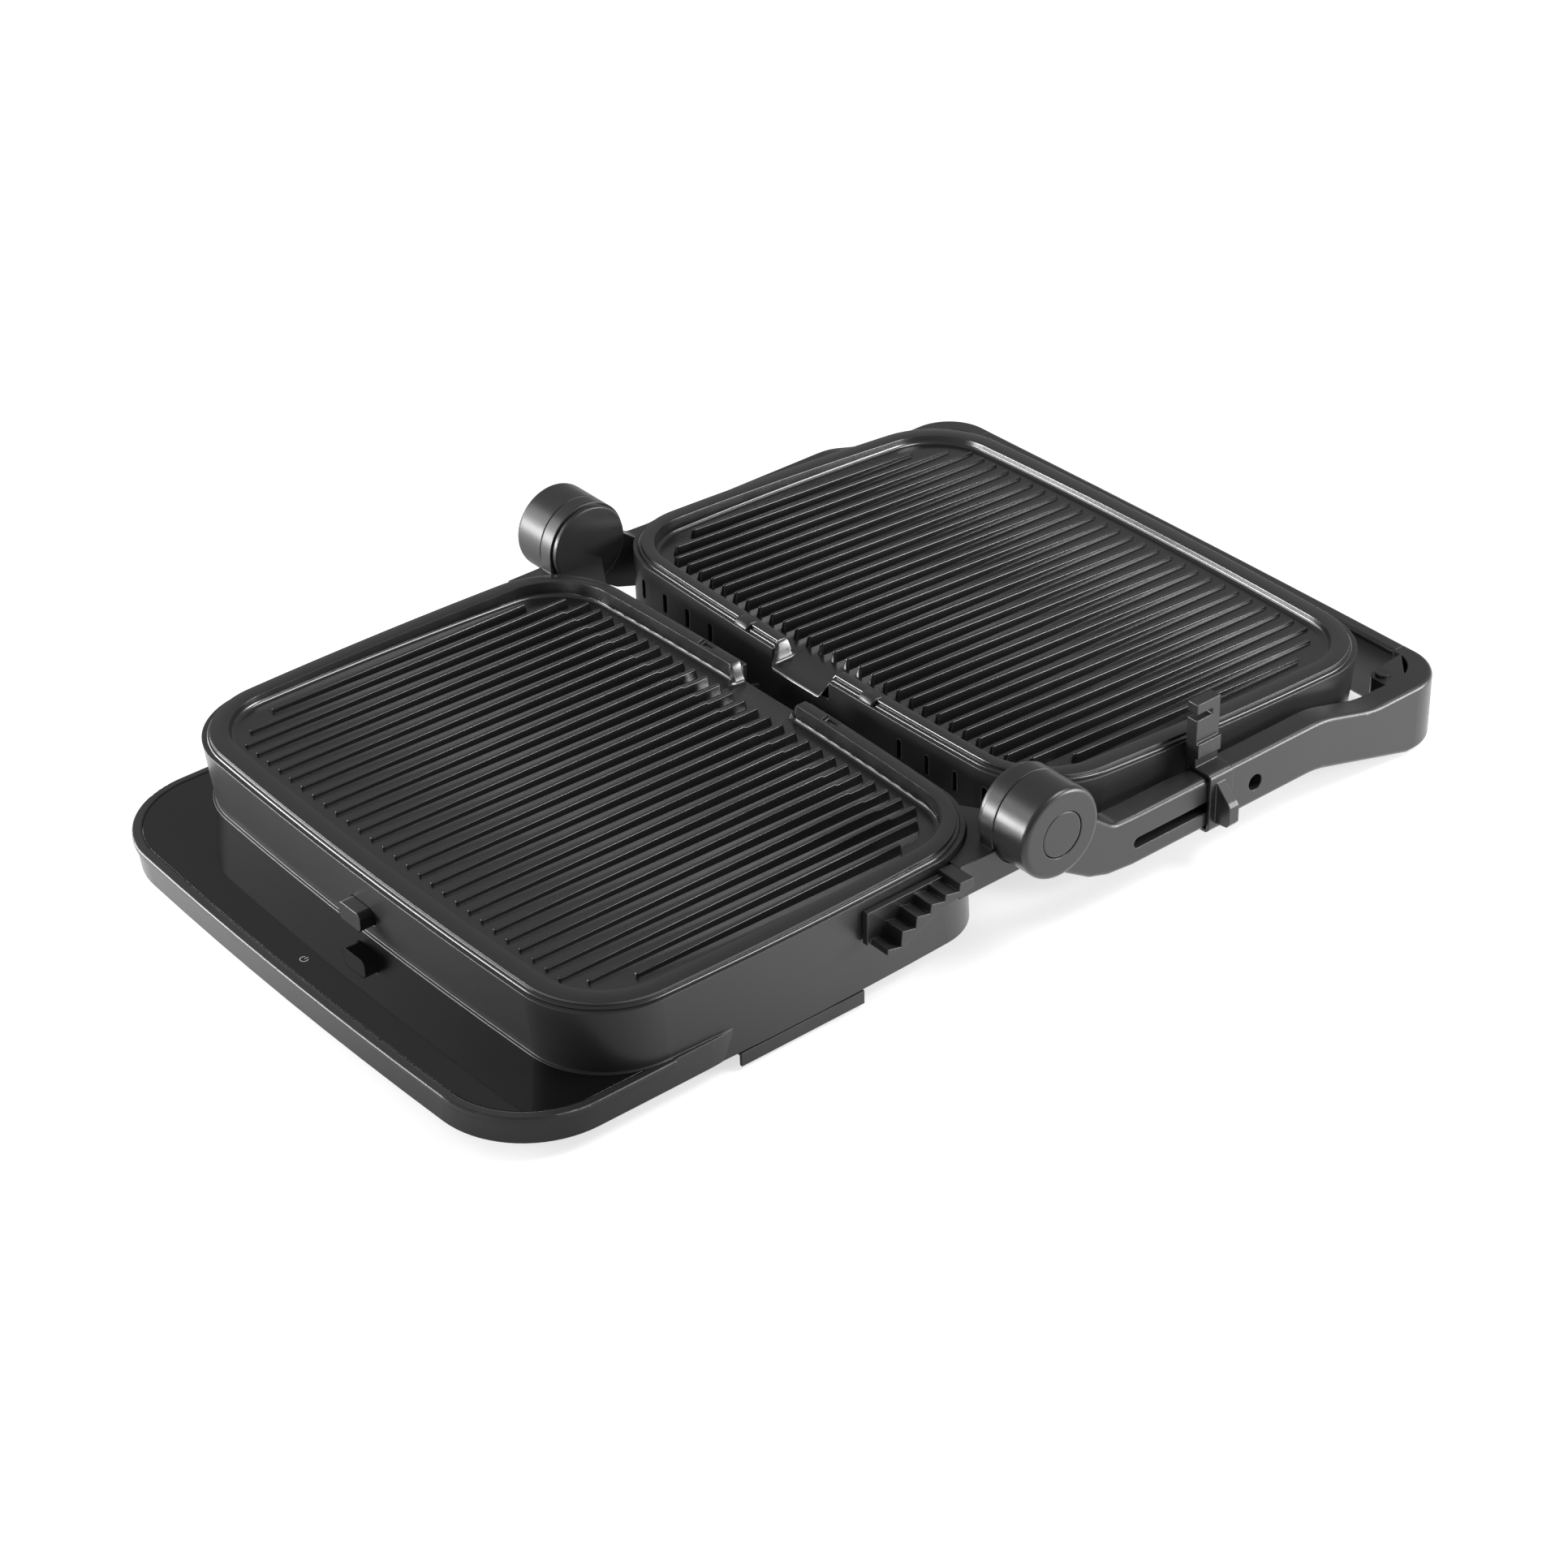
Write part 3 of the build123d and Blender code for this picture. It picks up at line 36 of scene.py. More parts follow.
# Camera that matches the photograph
AIM = Vector((0.0670, -0.0474, 0.0565))
CAMERA_AZIMUTH = math.radians(51.21)
CAMERA_ELEVATION = math.radians(33.20)
CAMERA_ROLL = math.radians(-1.48)
CAMERA_DISTANCE = 1.5955
LENS = 83.89
SENSOR = 36.0

# Sizes of the CAD model that the fine pieces follow, in millimetres
HINGE_Y = 11.2
HINGE_Z = 61.5
PLATE_REACH = 122.5
LOWER_RIB_TOP_DROP = 5.0
UPPER_RIB_TOP_DROP = 0.32
DROOP = math.radians(3.142)

# Outlines of the plates
PLATE_HALF_WIDTH = 154.8
PLATE_HALF_LENGTH = 112.8
PLATE_CORNER = 41.0
BASIN_HALF_WIDTH = 147.0
BASIN_HALF_LENGTH = 105.55
BASIN_MIDDLE_Y = 1.45
BASIN_CORNER = 33.0
SIDE_BOW = 3.0
END_BOW = 4.6
END_STEPS = 144
END_EASE = 1.7
CORNER_STEPS = 24
SIDE_STEPS = 12

# Basin floors and undersides, with falls in millimetres per millimetre
FLOOR_DEPTH = 3.3
FLOOR_SLOPE = 0.0198
UNDER_DEPTH = 7.4
UNDER_SLOPE = 0.01326

# Spouts and the notches for the catches in the hinge-side rims
LOWER_OUTLET_HALF = 19.0
UPPER_OUTLET_HALF = 16.0
CHEEK_WIDTH = 5.0
CATCH_X = 44.5
CATCH_HALF = 5.0
CATCH_DEPTH = 4.2

# Ribs: half widths and drops of the section and of the ends, and the rows that are cut short
RIB_PITCH = 9.0
RIB_LENGTH = 192.0
RIB_TAIL_START = 81.0
RIB_TAIL_SHORTEST = 8.0
RIB_TAIL_STEP = 0.7
RIB_TAIL_DROP = 0.9
RIB_TAIL_WIDTH = 1.1
RIB_DRAFT = 0.17
RIB_FOOT_HALF = 0.95
RIB_FOOT_SINK = 0.1
RIB_TIP_REACH = 1.15
RIB_TIP = ((0.0, 0.30, 0.45), (0.12, 0.55, 0.20), (0.40, 0.82, 0.05), (0.95, 1.0, 0.0))
RIB_EDGE = (
    (-0.99, -0.40), (-0.95, -0.20), (-0.84, -0.06), (-0.66, 0.0),
    (0.66, 0.0), (0.84, -0.06), (0.95, -0.20), (0.99, -0.40),
)
FULL_RIB_ROWS = 13
CUT_RIB_ROWS = ((14, 15.0), (15, 50.0))
CUT_RIB_SHIFT = 0.5
SHARP_ANGLE = math.radians(40.0)

# Catch covers on the upper plate
COVER_HALF = 4.6
COVER_END_EASE = 0.5
COVER_TOP = ((108.2, 2.0), (108.4, 2.8), (111.6, 3.0))
COVER_NOSE_CENTRE = (111.8, -0.4)
COVER_NOSE_REACH = 3.6
COVER_NOSE_RISE = 3.4
COVER_NOSE_ANGLES = (70, 50, 30, 12)
COVER_FOOT = ((115.4, -0.4), (112.9, -0.4), (112.9, 2.0))

# Pod caps: depth and radius along the axis
POD_FACE_X = 153.7
POD_CAP_STEPS = 64
POD_CAP_SECTION = ((0.0, 20.6), (2.4, 20.6), (3.0, 20.3), (3.2, 19.6))

# Standby sign
MARK_X = -2.0
MARK_Y = -255.4
MARK_LIFT = 0.02
MARK_RADIUS = 1.75
MARK_LINE = 0.36
MARK_BAR_FOOT = 0.2
MARK_BAR_TOP = 2.1
MARK_GAP = math.radians(38.0)
MARK_STEPS = 40

# Softboxes: name, direction and height in degrees or place in metres, and power in watts
LAMP_DISTANCE = 1.9
LAMP_AIM = (0.0, 0.0, 0.03)
FAR_LAMP_SIZE = (0.8, 0.6)
FAR_LAMPS = (
    ("front_left_softbox", 219.0, 33.0, 7.0),
    ("low_right_softbox", 45.0, 12.0, 22.0),
    ("back_right_softbox", 45.0, 52.0, 22.0),
)
NEAR_LAMP_SIZE = (0.5, 0.25)
NEAR_LAMPS = (
    ("near_front_softbox", (-0.55, -0.75, 0.15), 12.0),
    ("near_left_softbox", (-0.75, -0.45, 0.20), 3.0),
    ("near_back_softbox", (0.60, 0.70, 0.20), 2.4),
)

# Floor and backdrop
FLOOR_HALF = 6.0
FLOOR_DROP = 0.0002
FLOOR_ALBEDO = 0.5
FLOOR_SEEN = 0.65
BACKDROP_SEEN = 1.0
BACKDROP_GLOSSY = 0.36
BACKDROP_LIGHT = 0.35

# Glow of the floor in glossy surfaces, in metres along the picture's width
GLOW_DARK_MIDDLE = 0.11
GLOW_DARK_HALF = 0.03
GLOW_BRIGHT_FROM = 0.22
GLOW_STRENGTH = 1.0

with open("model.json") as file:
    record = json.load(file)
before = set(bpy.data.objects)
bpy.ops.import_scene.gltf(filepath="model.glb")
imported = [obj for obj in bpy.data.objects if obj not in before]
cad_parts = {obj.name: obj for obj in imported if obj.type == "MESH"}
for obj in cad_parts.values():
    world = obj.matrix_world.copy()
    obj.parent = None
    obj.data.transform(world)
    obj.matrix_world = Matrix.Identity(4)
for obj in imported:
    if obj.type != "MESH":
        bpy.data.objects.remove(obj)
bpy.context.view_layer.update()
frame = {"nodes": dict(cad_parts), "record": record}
nodes = frame["nodes"]


def new_material(name, colour, roughness, metallic=0.0, specular=0.5):
    """A principled material and its shader, constant values on the shader's own sockets."""
    material = bpy.data.materials.new(name)
    material.use_nodes = True
    shader = material.node_tree.nodes["Principled BSDF"]
    shader.inputs["Base Color"].default_value = (*colour, 1.0)
    shader.inputs["Roughness"].default_value = roughness
    shader.inputs["Metallic"].default_value = metallic
    shader.inputs["Specular IOR Level"].default_value = specular
    return material, shader


def add_node(material, kind, **values):
    node = material.node_tree.nodes.new(kind)
    for key, value in values.items():
        if key in node.inputs:
            node.inputs[key].default_value = value
        else:
            setattr(node, key, value)
    return node


def link(material, source, output, target, socket):
    material.node_tree.links.new(source.outputs[output], target.inputs[socket])


def object_place(material):
    """Place on the object, in metres."""
    return add_node(material, "ShaderNodeTexCoord")


def noise(material, scale, detail=2.0, roughness=0.5):
    place = object_place(material)
    cloud = add_node(
        material, "ShaderNodeTexNoise", Scale=scale, Detail=detail, Roughness=roughness
    )
    link(material, place, "Object", cloud, "Vector")
    return cloud


def ramp(material, source, low, high, low_value, high_value):
    """Maps a grey value between low and high to a value between low_value and high_value."""
    stretch = add_node(material, "ShaderNodeMapRange")
    stretch.inputs["From Min"].default_value = low
    stretch.inputs["From Max"].default_value = high
    stretch.inputs["To Min"].default_value = low_value
    stretch.inputs["To Max"].default_value = high_value
    link(material, source, 0, stretch, "Value")
    return stretch


def tint(material, shader, source, dark, light, low=0.35, high=0.65):
    """Base colour that drifts between two shades."""
    share = ramp(material, source, low, high, 0.0, 1.0)
    mix = add_node(material, "ShaderNodeMix", data_type="RGBA")
    mix.inputs[6].default_value = (*dark, 1.0)
    mix.inputs[7].default_value = (*light, 1.0)
    link(material, share, 0, mix, 0)
    link(material, mix, 2, shader, "Base Color")


def rounded_grain(material, shader, edge, grain_scale, grain_depth, strength=0.5):
    """Edges eased by edge metres, with a fine grain of grain_depth metres over them."""
    source = None
    if edge:
        source = add_node(material, "ShaderNodeBevel", samples=8)
        source.inputs["Radius"].default_value = edge
    if grain_depth:
        bump = add_node(material, "ShaderNodeBump")
        bump.inputs["Strength"].default_value = strength
        bump.inputs["Distance"].default_value = grain_depth
        link(material, noise(material, grain_scale, 3.0), 0, bump, "Height")
        if source:
            link(material, source, 0, bump, "Normal")
        source = bump
    if source:
        link(material, source, 0, shader, "Normal")


def grey(value):
    return (value, value, value * 1.01)


def housing_material():
    material, shader = new_material("satin_housing_plastic", grey(0.018), 0.33, specular=0.5)
    tint(material, shader, noise(material, 14.0), grey(0.017), grey(0.019))
    wear = ramp(material, noise(material, 60.0, 4.0), 0.3, 0.7, 0.31, 0.35)
    link(material, wear, 0, shader, "Roughness")
    rounded_grain(material, shader, 0.8 * MM, 2600.0, 0.01 * MM, 0.3)
    return material


def trim_material():
    material, shader = new_material("satin_trim_plastic", grey(0.018), 0.32, specular=0.5)
    tint(material, shader, noise(material, 18.0), grey(0.017), grey(0.019))
    wear = ramp(material, noise(material, 70.0, 4.0), 0.3, 0.7, 0.30, 0.34)
    link(material, wear, 0, shader, "Roughness")
    rounded_grain(material, shader, 0.9 * MM, 2600.0, 0.01 * MM, 0.3)
    return material


def glass_material():
    material, shader = new_material("black_deck_glass", grey(0.004), 0.04, specular=0.5)
    smear = ramp(material, noise(material, 40.0, 5.0), 0.35, 0.75, 0.03, 0.07)
    link(material, smear, 0, shader, "Roughness")
    rounded_grain(material, shader, 0.4 * MM, 0.0, 0.0)
    return material


def plate_material(name, edge):
    """Non-stick coating: dark, slightly glossy, with fine pale specks."""
    material, shader = new_material(name, grey(0.009), 0.23, specular=0.8)
    place = object_place(material)
    cells = add_node(material, "ShaderNodeTexVoronoi", Scale=1400.0)
    link(material, place, "Object", cells, "Vector")
    specks = ramp(material, cells, 0.0, 0.16, 1.0, 0.0)
    drift = noise(material, 300.0, 2.0)
    chosen = ramp(material, drift, 0.56, 0.64, 0.0, 1.0)
    both = add_node(material, "ShaderNodeMath", operation="MULTIPLY")
    link(material, specks, 0, both, 0)
    link(material, chosen, 0, both, 1)
    mix = add_node(material, "ShaderNodeMix", data_type="RGBA")
    mix.inputs[6].default_value = (*grey(0.009), 1.0)
    mix.inputs[7].default_value = (*grey(0.04), 1.0)
    link(material, both, 0, mix, 0)
    link(material, mix, 2, shader, "Base Color")
    wear = ramp(material, noise(material, 90.0, 4.0), 0.3, 0.7, 0.21, 0.25)
    link(material, wear, 0, shader, "Roughness")
    rounded_grain(material, shader, edge, 3600.0, 0.01 * MM, 0.25)
    return material


def plated_material():
    material, shader = new_material("blackened_catch_steel", grey(0.10), 0.30, metallic=1.0)
    tint(material, shader, noise(material, 160.0, 3.0), grey(0.08), grey(0.13))
    wear = ramp(material, noise(material, 200.0, 5.0), 0.3, 0.7, 0.24, 0.36)
    link(material, wear, 0, shader, "Roughness")
    rounded_grain(material, shader, 0.2 * MM, 900.0, 0.02 * MM, 0.3)
    return material


def steel_material():
    """Blackened steel with fine lines along the rolling direction."""
    material, shader = new_material("blackened_steel", grey(0.09), 0.34, metallic=1.0)
    place = object_place(material)
    stretch = add_node(material, "ShaderNodeMapping")
    stretch.inputs["Scale"].default_value = (1.0, 60.0, 60.0)
    link(material, place, "Object", stretch, "Vector")
    lines = add_node(material, "ShaderNodeTexNoise", Scale=60.0, Detail=4.0)
    link(material, stretch, 0, lines, "Vector")
    wear = ramp(material, lines, 0.3, 0.7, 0.24, 0.42)
    link(material, wear, 0, shader, "Roughness")
    tint(material, shader, lines, grey(0.07), grey(0.12))
    rounded_grain(material, shader, 0.2 * MM, 1500.0, 0.01 * MM, 0.3)
    return material


def bush_material():
    material, shader = new_material("sintered_bronze", (0.42, 0.30, 0.16), 0.45, metallic=1.0)
    tint(material, shader, noise(material, 900.0, 3.0), (0.36, 0.26, 0.14), (0.48, 0.36, 0.20))
    rounded_grain(material, shader, 0.2 * MM, 2400.0, 0.03 * MM)
    return material


def rubber_material():
    material, shader = new_material("black_rubber", grey(0.014), 0.75, specular=0.3)
    tint(material, shader, noise(material, 80.0), grey(0.011), grey(0.018))
    rounded_grain(material, shader, 0.5 * MM, 1800.0, 0.05 * MM)
    return material


def element_material():
    material, shader = new_material("heat_darkened_tube", (0.10, 0.09, 0.085), 0.45, metallic=1.0)
    tint(material, shader, noise(material, 45.0, 4.0), (0.06, 0.055, 0.06), (0.16, 0.13, 0.11))
    rounded_grain(material, shader, 0.3 * MM, 1600.0, 0.03 * MM)
    return material


def ceramic_material():
    material, shader = new_material("cream_ceramic", (0.55, 0.50, 0.42), 0.40)
    tint(material, shader, noise(material, 120.0, 3.0), (0.50, 0.45, 0.37), (0.60, 0.55, 0.47))
    rounded_grain(material, shader, 0.3 * MM, 1500.0, 0.03 * MM)
    return material


def board_material():
    """Printed circuit board with its copper lines under green lacquer."""
    material, shader = new_material("circuit_board", (0.02, 0.10, 0.05), 0.35)
    place = object_place(material)
    tracks = add_node(material, "ShaderNodeTexBrick", Scale=120.0)
    tracks.inputs["Color1"].default_value = (0.02, 0.10, 0.05, 1.0)
    tracks.inputs["Color2"].default_value = (0.02, 0.13, 0.06, 1.0)
    tracks.inputs["Mortar"].default_value = (0.04, 0.20, 0.10, 1.0)
    link(material, place, "Object", tracks, "Vector")
    link(material, tracks, 0, shader, "Base Color")
    rounded_grain(material, shader, 0.2 * MM, 900.0, 0.02 * MM)
    return material


def tray_material():
    material, shader = new_material("satin_enamel_tray", grey(0.020), 0.38)
    tint(material, shader, noise(material, 30.0, 3.0), grey(0.017), grey(0.024))
    rounded_grain(material, shader, 0.5 * MM, 2000.0, 0.03 * MM)
    return material


def mark_material():
    """Pale print under the glass."""
    material, shader = new_material("printed_mark", grey(0.42), 0.30)
    tint(material, shader, noise(material, 2500.0, 3.0), grey(0.36), grey(0.48))
    return material


def paint_cad_nodes():
    """Each CAD node takes the material of its slot in the record."""
    by_slot = {
        "housing": housing_material(),
        "housing_trim": trim_material(),
        "deck_glass": glass_material(),
        "plate": plate_material("non_stick_coating", 0.4 * MM),
        "catch_metal": plated_material(),
        "steel": steel_material(),
        "bush": bush_material(),
        "rubber": rubber_material(),
        "element": element_material(),
        "ceramic": ceramic_material(),
        "board": board_material(),
        "tray": tray_material(),
    }
    for row in frame["record"]["subparts"]:
        piece = nodes[row["node"]]
        for place in piece.material_slots:
            place.material = by_slot[row["material_slot"]]
        if not piece.material_slots:
            piece.data.materials.append(by_slot[row["material_slot"]])
    return by_slot


def piece_from_mesh(name, mesh, material, body):
    """Object of a bmesh that rides on a body."""
    data = bpy.data.meshes.new(name)
    mesh.to_mesh(data)
    mesh.free()
    piece = bpy.data.objects.new(name, data)
    bpy.context.scene.collection.objects.link(piece)
    data.materials.append(material)
    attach(piece, body)
    return piece


def soften(mesh):
    """Smooth faces, with a sharp edge where two of them meet at a clear angle."""
    bmesh.ops.recalc_face_normals(mesh, faces=mesh.faces)
    for face in mesh.faces:
        face.smooth = True
    for edge in mesh.edges:
        edge.smooth = edge.calc_face_angle(0.0) < SHARP_ANGLE


def skin(mesh, rings):
    """Quads between rings of places, with a face across each end of the row of rings."""
    rows = [[mesh.verts.new(place) for place in ring] for ring in rings]
    count = len(rows[0])
    for here, there in zip(rows, rows[1:]):
        for k in range(count):
            mesh.faces.new((here[k], here[(k + 1) % count], there[(k + 1) % count], there[k]))
    mesh.faces.new(rows[0])
    mesh.faces.new(rows[-1])


def plate_planes():
    """Name, body, plane on the rib tops, outlet half width and underside slope of each plate."""
    low = Vector((0.0, HINGE_Y - PLATE_REACH, HINGE_Z - LOWER_RIB_TOP_DROP))
    lower = Matrix.Translation(low * MM)
    along = Vector((0.0, math.cos(DROOP), -math.sin(DROOP)))
    normal = Vector((0.0, math.sin(DROOP), math.cos(DROOP)))
    hinge = Vector((0.0, HINGE_Y, HINGE_Z))
    centre = (hinge + along * PLATE_REACH - normal * UPPER_RIB_TOP_DROP) * MM
    turn = Matrix((Vector((-1.0, 0.0, 0.0)), -along, normal)).transposed().to_4x4()
    upper = Matrix.Translation(centre) @ turn
    return (
        ("lower", "base", lower, LOWER_OUTLET_HALF, UNDER_SLOPE),
        ("upper", "lid", upper, UPPER_OUTLET_HALF, -UNDER_SLOPE),
    )


def floor_height(y):
    """Height of the basin floor, which falls towards the spout, against the rib tops."""
    return -FLOOR_DEPTH - FLOOR_SLOPE * y


def corner_centre(end_centre, end_radius, side_centre, side_radius, corner):
    """Centre of the corner arc that lies inside both bowed edges and touches them."""
    between = side_centre - end_centre
    first = end_radius - corner
    second = side_radius - corner
    share = (first ** 2 - second ** 2 + between.length_squared) / (2 * between.length)
    rise = math.sqrt(first ** 2 - share ** 2)
    way = between.normalized()
    across = Vector((-way.y, way.x))
    crossings = [end_centre + way * share + across * rise * sign for sign in (-1, 1)]
    return max(crossings, key=lambda place: place.x - place.y)


def arc(middle, radius, start, stop, steps, ease=1.0):
    """Places and outward directions on an arc without its last place."""
    turns = [start + (stop - start) * (k / steps) ** ease for k in range(steps)]
    ways = [Vector((math.cos(turn), math.sin(turn))) for turn in turns]
    return [(middle + way * radius, way) for way in ways]


def outline_points(half_width, half_length, middle_y, corner):
    """Places and outward directions round a bowed outline, from the middle of its front edge."""
    x_end = half_width - SIDE_BOW
    y_end = half_length - END_BOW
    end_radius = (x_end ** 2 + END_BOW ** 2) / (2 * END_BOW)
    side_radius = (y_end ** 2 + SIDE_BOW ** 2) / (2 * SIDE_BOW)
    end_centre = Vector((0.0, end_radius - half_length))
    side_centre = Vector((half_width - side_radius, 0.0))
    centre = corner_centre(end_centre, end_radius, side_centre, side_radius, corner)
    end_turn = math.atan2(centre.y - end_centre.y, centre.x - end_centre.x)
    side_turn = math.atan2(centre.y - side_centre.y, centre.x - side_centre.x)
    quarter = arc(end_centre, end_radius, -math.pi / 2, end_turn, END_STEPS, END_EASE)
    quarter += arc(centre, corner, end_turn, side_turn, CORNER_STEPS)
    quarter += arc(side_centre, side_radius, side_turn, 0.0, SIDE_STEPS)
    quarter.append((Vector((half_width, 0.0)), Vector((1.0, 0.0))))
    upper = [(Vector((p.x, -p.y)), Vector((n.x, -n.y))) for p, n in quarter[-2::-1]]
    right = quarter + upper
    left = [(Vector((-p.x, p.y)), Vector((-n.x, n.y))) for p, n in right[-2:0:-1]]
    return [(place + Vector((0.0, middle_y)), way) for place, way in right + left]


def rim_section(floor, under):
    """Section of the rim from the underside over the flange and rim down to the basin floor.

    Each point has the outline that it is measured from, its way out and its height.
    """
    return [
        ("basin", -2.6, under), ("basin", 2.0, under), ("basin", 2.2, -1.5),
        ("outer", 0.0, -1.5), ("outer", 1.3, -0.45), ("outer", 1.35, -0.1),
        ("outer", 1.15, 0.25), ("outer", 0.75, 0.5), ("outer", 0.25, 0.6),
        ("outer", 0.0, 0.75), ("outer", 0.0, 1.95), ("outer", -0.16, 2.34),
        ("outer", -0.55, 2.5), ("basin", 0.45, 2.5), ("basin", 0.12, 2.38),
        ("basin", 0.0, 2.05), ("basin", -0.3, floor + 1.8), ("basin", -0.7, floor + 0.7),
        ("basin", -1.6, floor + 0.12), ("basin", -2.8, floor),
    ]


def mouth_section(floor, under, rolled):
    """Section through the spout, with as many points as the rim's."""
    if rolled:
        lip = [
            (4.6, -8.8), (5.5, -9.35), (6.15, -9.3), (6.35, -8.9), (6.2, -8.45),
            (5.6, -7.95), (4.5, -7.45), (2.9, -7.05), (0.8, -6.82),
        ]
    else:
        lip = [
            (0.0, -8.8), (0.0, -8.2), (0.0, -7.8), (-0.02, -7.4), (-0.1, -7.15),
            (-0.3, -6.95), (-0.7, -6.84), (-1.3, -6.8), (-2.0, -6.78),
        ]
    inside = [
        (2.2, -6.7), (0.6, -6.58), (-1.2, -6.42), (-3.0, -6.2),
        (-5.0, -5.95), (-7.2, -5.7), (-9.6, floor),
    ]
    section = [("basin", -9.4, under), ("basin", 1.0, -8.8), ("basin", 3.0, -8.8)]
    section += [("outer", -0.4, -8.8)] + [("outer", *spot) for spot in lip]
    return section + [("basin", *spot) for spot in inside]


def section_place(edges, spot, sunk=0.0):
    """Place of a section's point, its outer outline sunk in where a catch takes hold."""
    base, out, height = spot
    place, way = edges[base]
    inset = sunk if base == "outer" else 0.0
    return Vector((*(place + way * (out - inset)), height))


def mouth_share(edge, outlet_half):
    """How far the section at an outer place is the spout's, eased over the cheek."""
    if edge.y <= 0:
        return 0.0
    reach = (outlet_half + CHEEK_WIDTH - abs(edge.x)) / CHEEK_WIDTH
    reach = min(1.0, max(0.0, reach))
    return reach * reach * (3 - 2 * reach)


def plate_rings(plane, outlet_half, under_slope, rolled):
    """Sections of a plate all the way round its rim."""
    outer = outline_points(PLATE_HALF_WIDTH, PLATE_HALF_LENGTH, 0.0, PLATE_CORNER)
    basin = outline_points(BASIN_HALF_WIDTH, BASIN_HALF_LENGTH, BASIN_MIDDLE_Y, BASIN_CORNER)
    rings = []
    for outer_spot, basin_spot in zip(outer, basin):
        edges = {"outer": outer_spot, "basin": basin_spot}
        edge, wall = outer_spot[0], basin_spot[0]
        floor = floor_height(wall.y)
        under = -UNDER_DEPTH - under_slope * wall.y
        share = mouth_share(edge, outlet_half)
        caught = edge.y > 0 and abs(abs(edge.x) - CATCH_X) < CATCH_HALF
        sunk = CATCH_DEPTH if caught else 0.0
        ring = []
        for rim, mouth in zip(rim_section(floor, under), mouth_section(floor, under, rolled)):
            here = section_place(edges, rim, sunk)
            there = section_place(edges, mouth)
            ring.append(plane @ (here.lerp(there, share) * MM))
        rings.append(ring)
    return rings


def plate_casting(name, body, plane, outlet_half, under_slope, material):
    """Whole cooking plate: rim with flange, basin, spout with its cheeks, and ribs."""
    rolled = name == "upper"
    mesh = bmesh.new()
    rings = plate_rings(plane, outlet_half, under_slope, rolled)
    rows = [[mesh.verts.new(place) for place in ring] for ring in rings]
    for i, here in enumerate(rows):
        there = rows[(i + 1) % len(rows)]
        for k in range(len(here) - 1):
            mesh.faces.new((here[k], here[k + 1], there[k + 1], there[k]))
    mesh.faces.new([row[0] for row in rows])
    mesh.faces.new([row[-1] for row in rows])
    full_rows = range(-FULL_RIB_ROWS, FULL_RIB_ROWS + 1)
    ribs = [(k * RIB_PITCH, 0.0, RIB_LENGTH) for k in full_rows]
    for row, cut in CUT_RIB_ROWS:
        for side in (-1, 1):
            ribs.append((side * row * RIB_PITCH, CUT_RIB_SHIFT, RIB_LENGTH - cut))
    for x, shift, length in ribs:
        rib(mesh, plane, x, shift - length / 2, shift + length / 2, not rolled)
    soften(mesh)
    piece = piece_from_mesh(name + "_plate_casting", mesh, material, body)
    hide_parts(name + "_plate")


def rib_stops(start, end, tailed):
    """Places along a rib with its half width and top height, from its start to its end."""
    stops = [(start + step, wide, -drop) for step, wide, drop in RIB_TIP]
    widen, sink = 1.0, 0.0
    if tailed and end > RIB_TAIL_START + RIB_TAIL_SHORTEST:
        widen, sink = RIB_TAIL_WIDTH, RIB_TAIL_DROP
        stops.append((RIB_TAIL_START - RIB_TAIL_STEP, 1.0, 0.0))
        stops.append((RIB_TAIL_START + RIB_TAIL_STEP, widen, -sink))
    for step, wide, drop in reversed(RIB_TIP):
        stops.append((end - step, wide * widen, -drop - sink))
    return stops


def rib(mesh, plane, x, start, end, tailed):
    """Tapered rib with a flat top, eased edges and rounded ends."""
    middle = (start + end) / 2
    rings = []
    for y, wide, top in rib_stops(start, end, tailed):
        foot = floor_height(y) - RIB_FOOT_SINK
        spread = RIB_DRAFT * (top - foot)
        foot_half = RIB_FOOT_HALF * wide + spread
        tip = RIB_TIP_REACH - wide if wide < 1 else 0.0
        foot_y = y + math.copysign(spread, y - middle) * tip
        ring = [Vector((x - foot_half, foot_y, foot))]
        ring += [Vector((x + side * wide, y, top + drop)) for side, drop in RIB_EDGE]
        ring.append(Vector((x + foot_half, foot_y, foot)))
        rings.append([plane @ (place * MM) for place in ring])
    skin(mesh, rings)


def swept_profile(mesh, plane, profile, x_start, x_end, ease):
    """Profile of y and z places drawn along x, its ends drawn in a little."""
    middle = sum((Vector(spot) for spot in profile), Vector((0.0, 0.0))) / len(profile)
    stops = [(x_start, ease), (x_start + ease * 0.35, ease * 0.35), (x_start + ease, 0.0)]
    stops += [(x_start + x_end - x, draw) for x, draw in reversed(stops)]
    rings = []
    for x, draw in stops:
        ring = []
        for spot in profile:
            out = Vector(spot) - middle
            spot = middle + out * max(0.0, 1 - draw / out.length)
            ring.append(plane @ (Vector((x, spot.x, spot.y)) * MM))
        rings.append(ring)
    skin(mesh, rings)


def catch_covers(plane, material):
    """Curved clips that hold the upper plate's rim by its hinge side."""
    mesh = bmesh.new()
    nose_y, nose_z = COVER_NOSE_CENTRE
    profile = list(COVER_TOP)
    for angle in COVER_NOSE_ANGLES:
        turn = math.radians(angle)
        reach = COVER_NOSE_REACH * math.cos(turn)
        profile.append((nose_y + reach, nose_z + COVER_NOSE_RISE * math.sin(turn)))
    profile += COVER_FOOT
    for middle in (-CATCH_X, CATCH_X):
        ends = (middle - COVER_HALF, middle + COVER_HALF)
        swept_profile(mesh, plane, profile, *ends, COVER_END_EASE)
    soften(mesh)
    piece_from_mesh("upper_catch_covers", mesh, material, "lid")


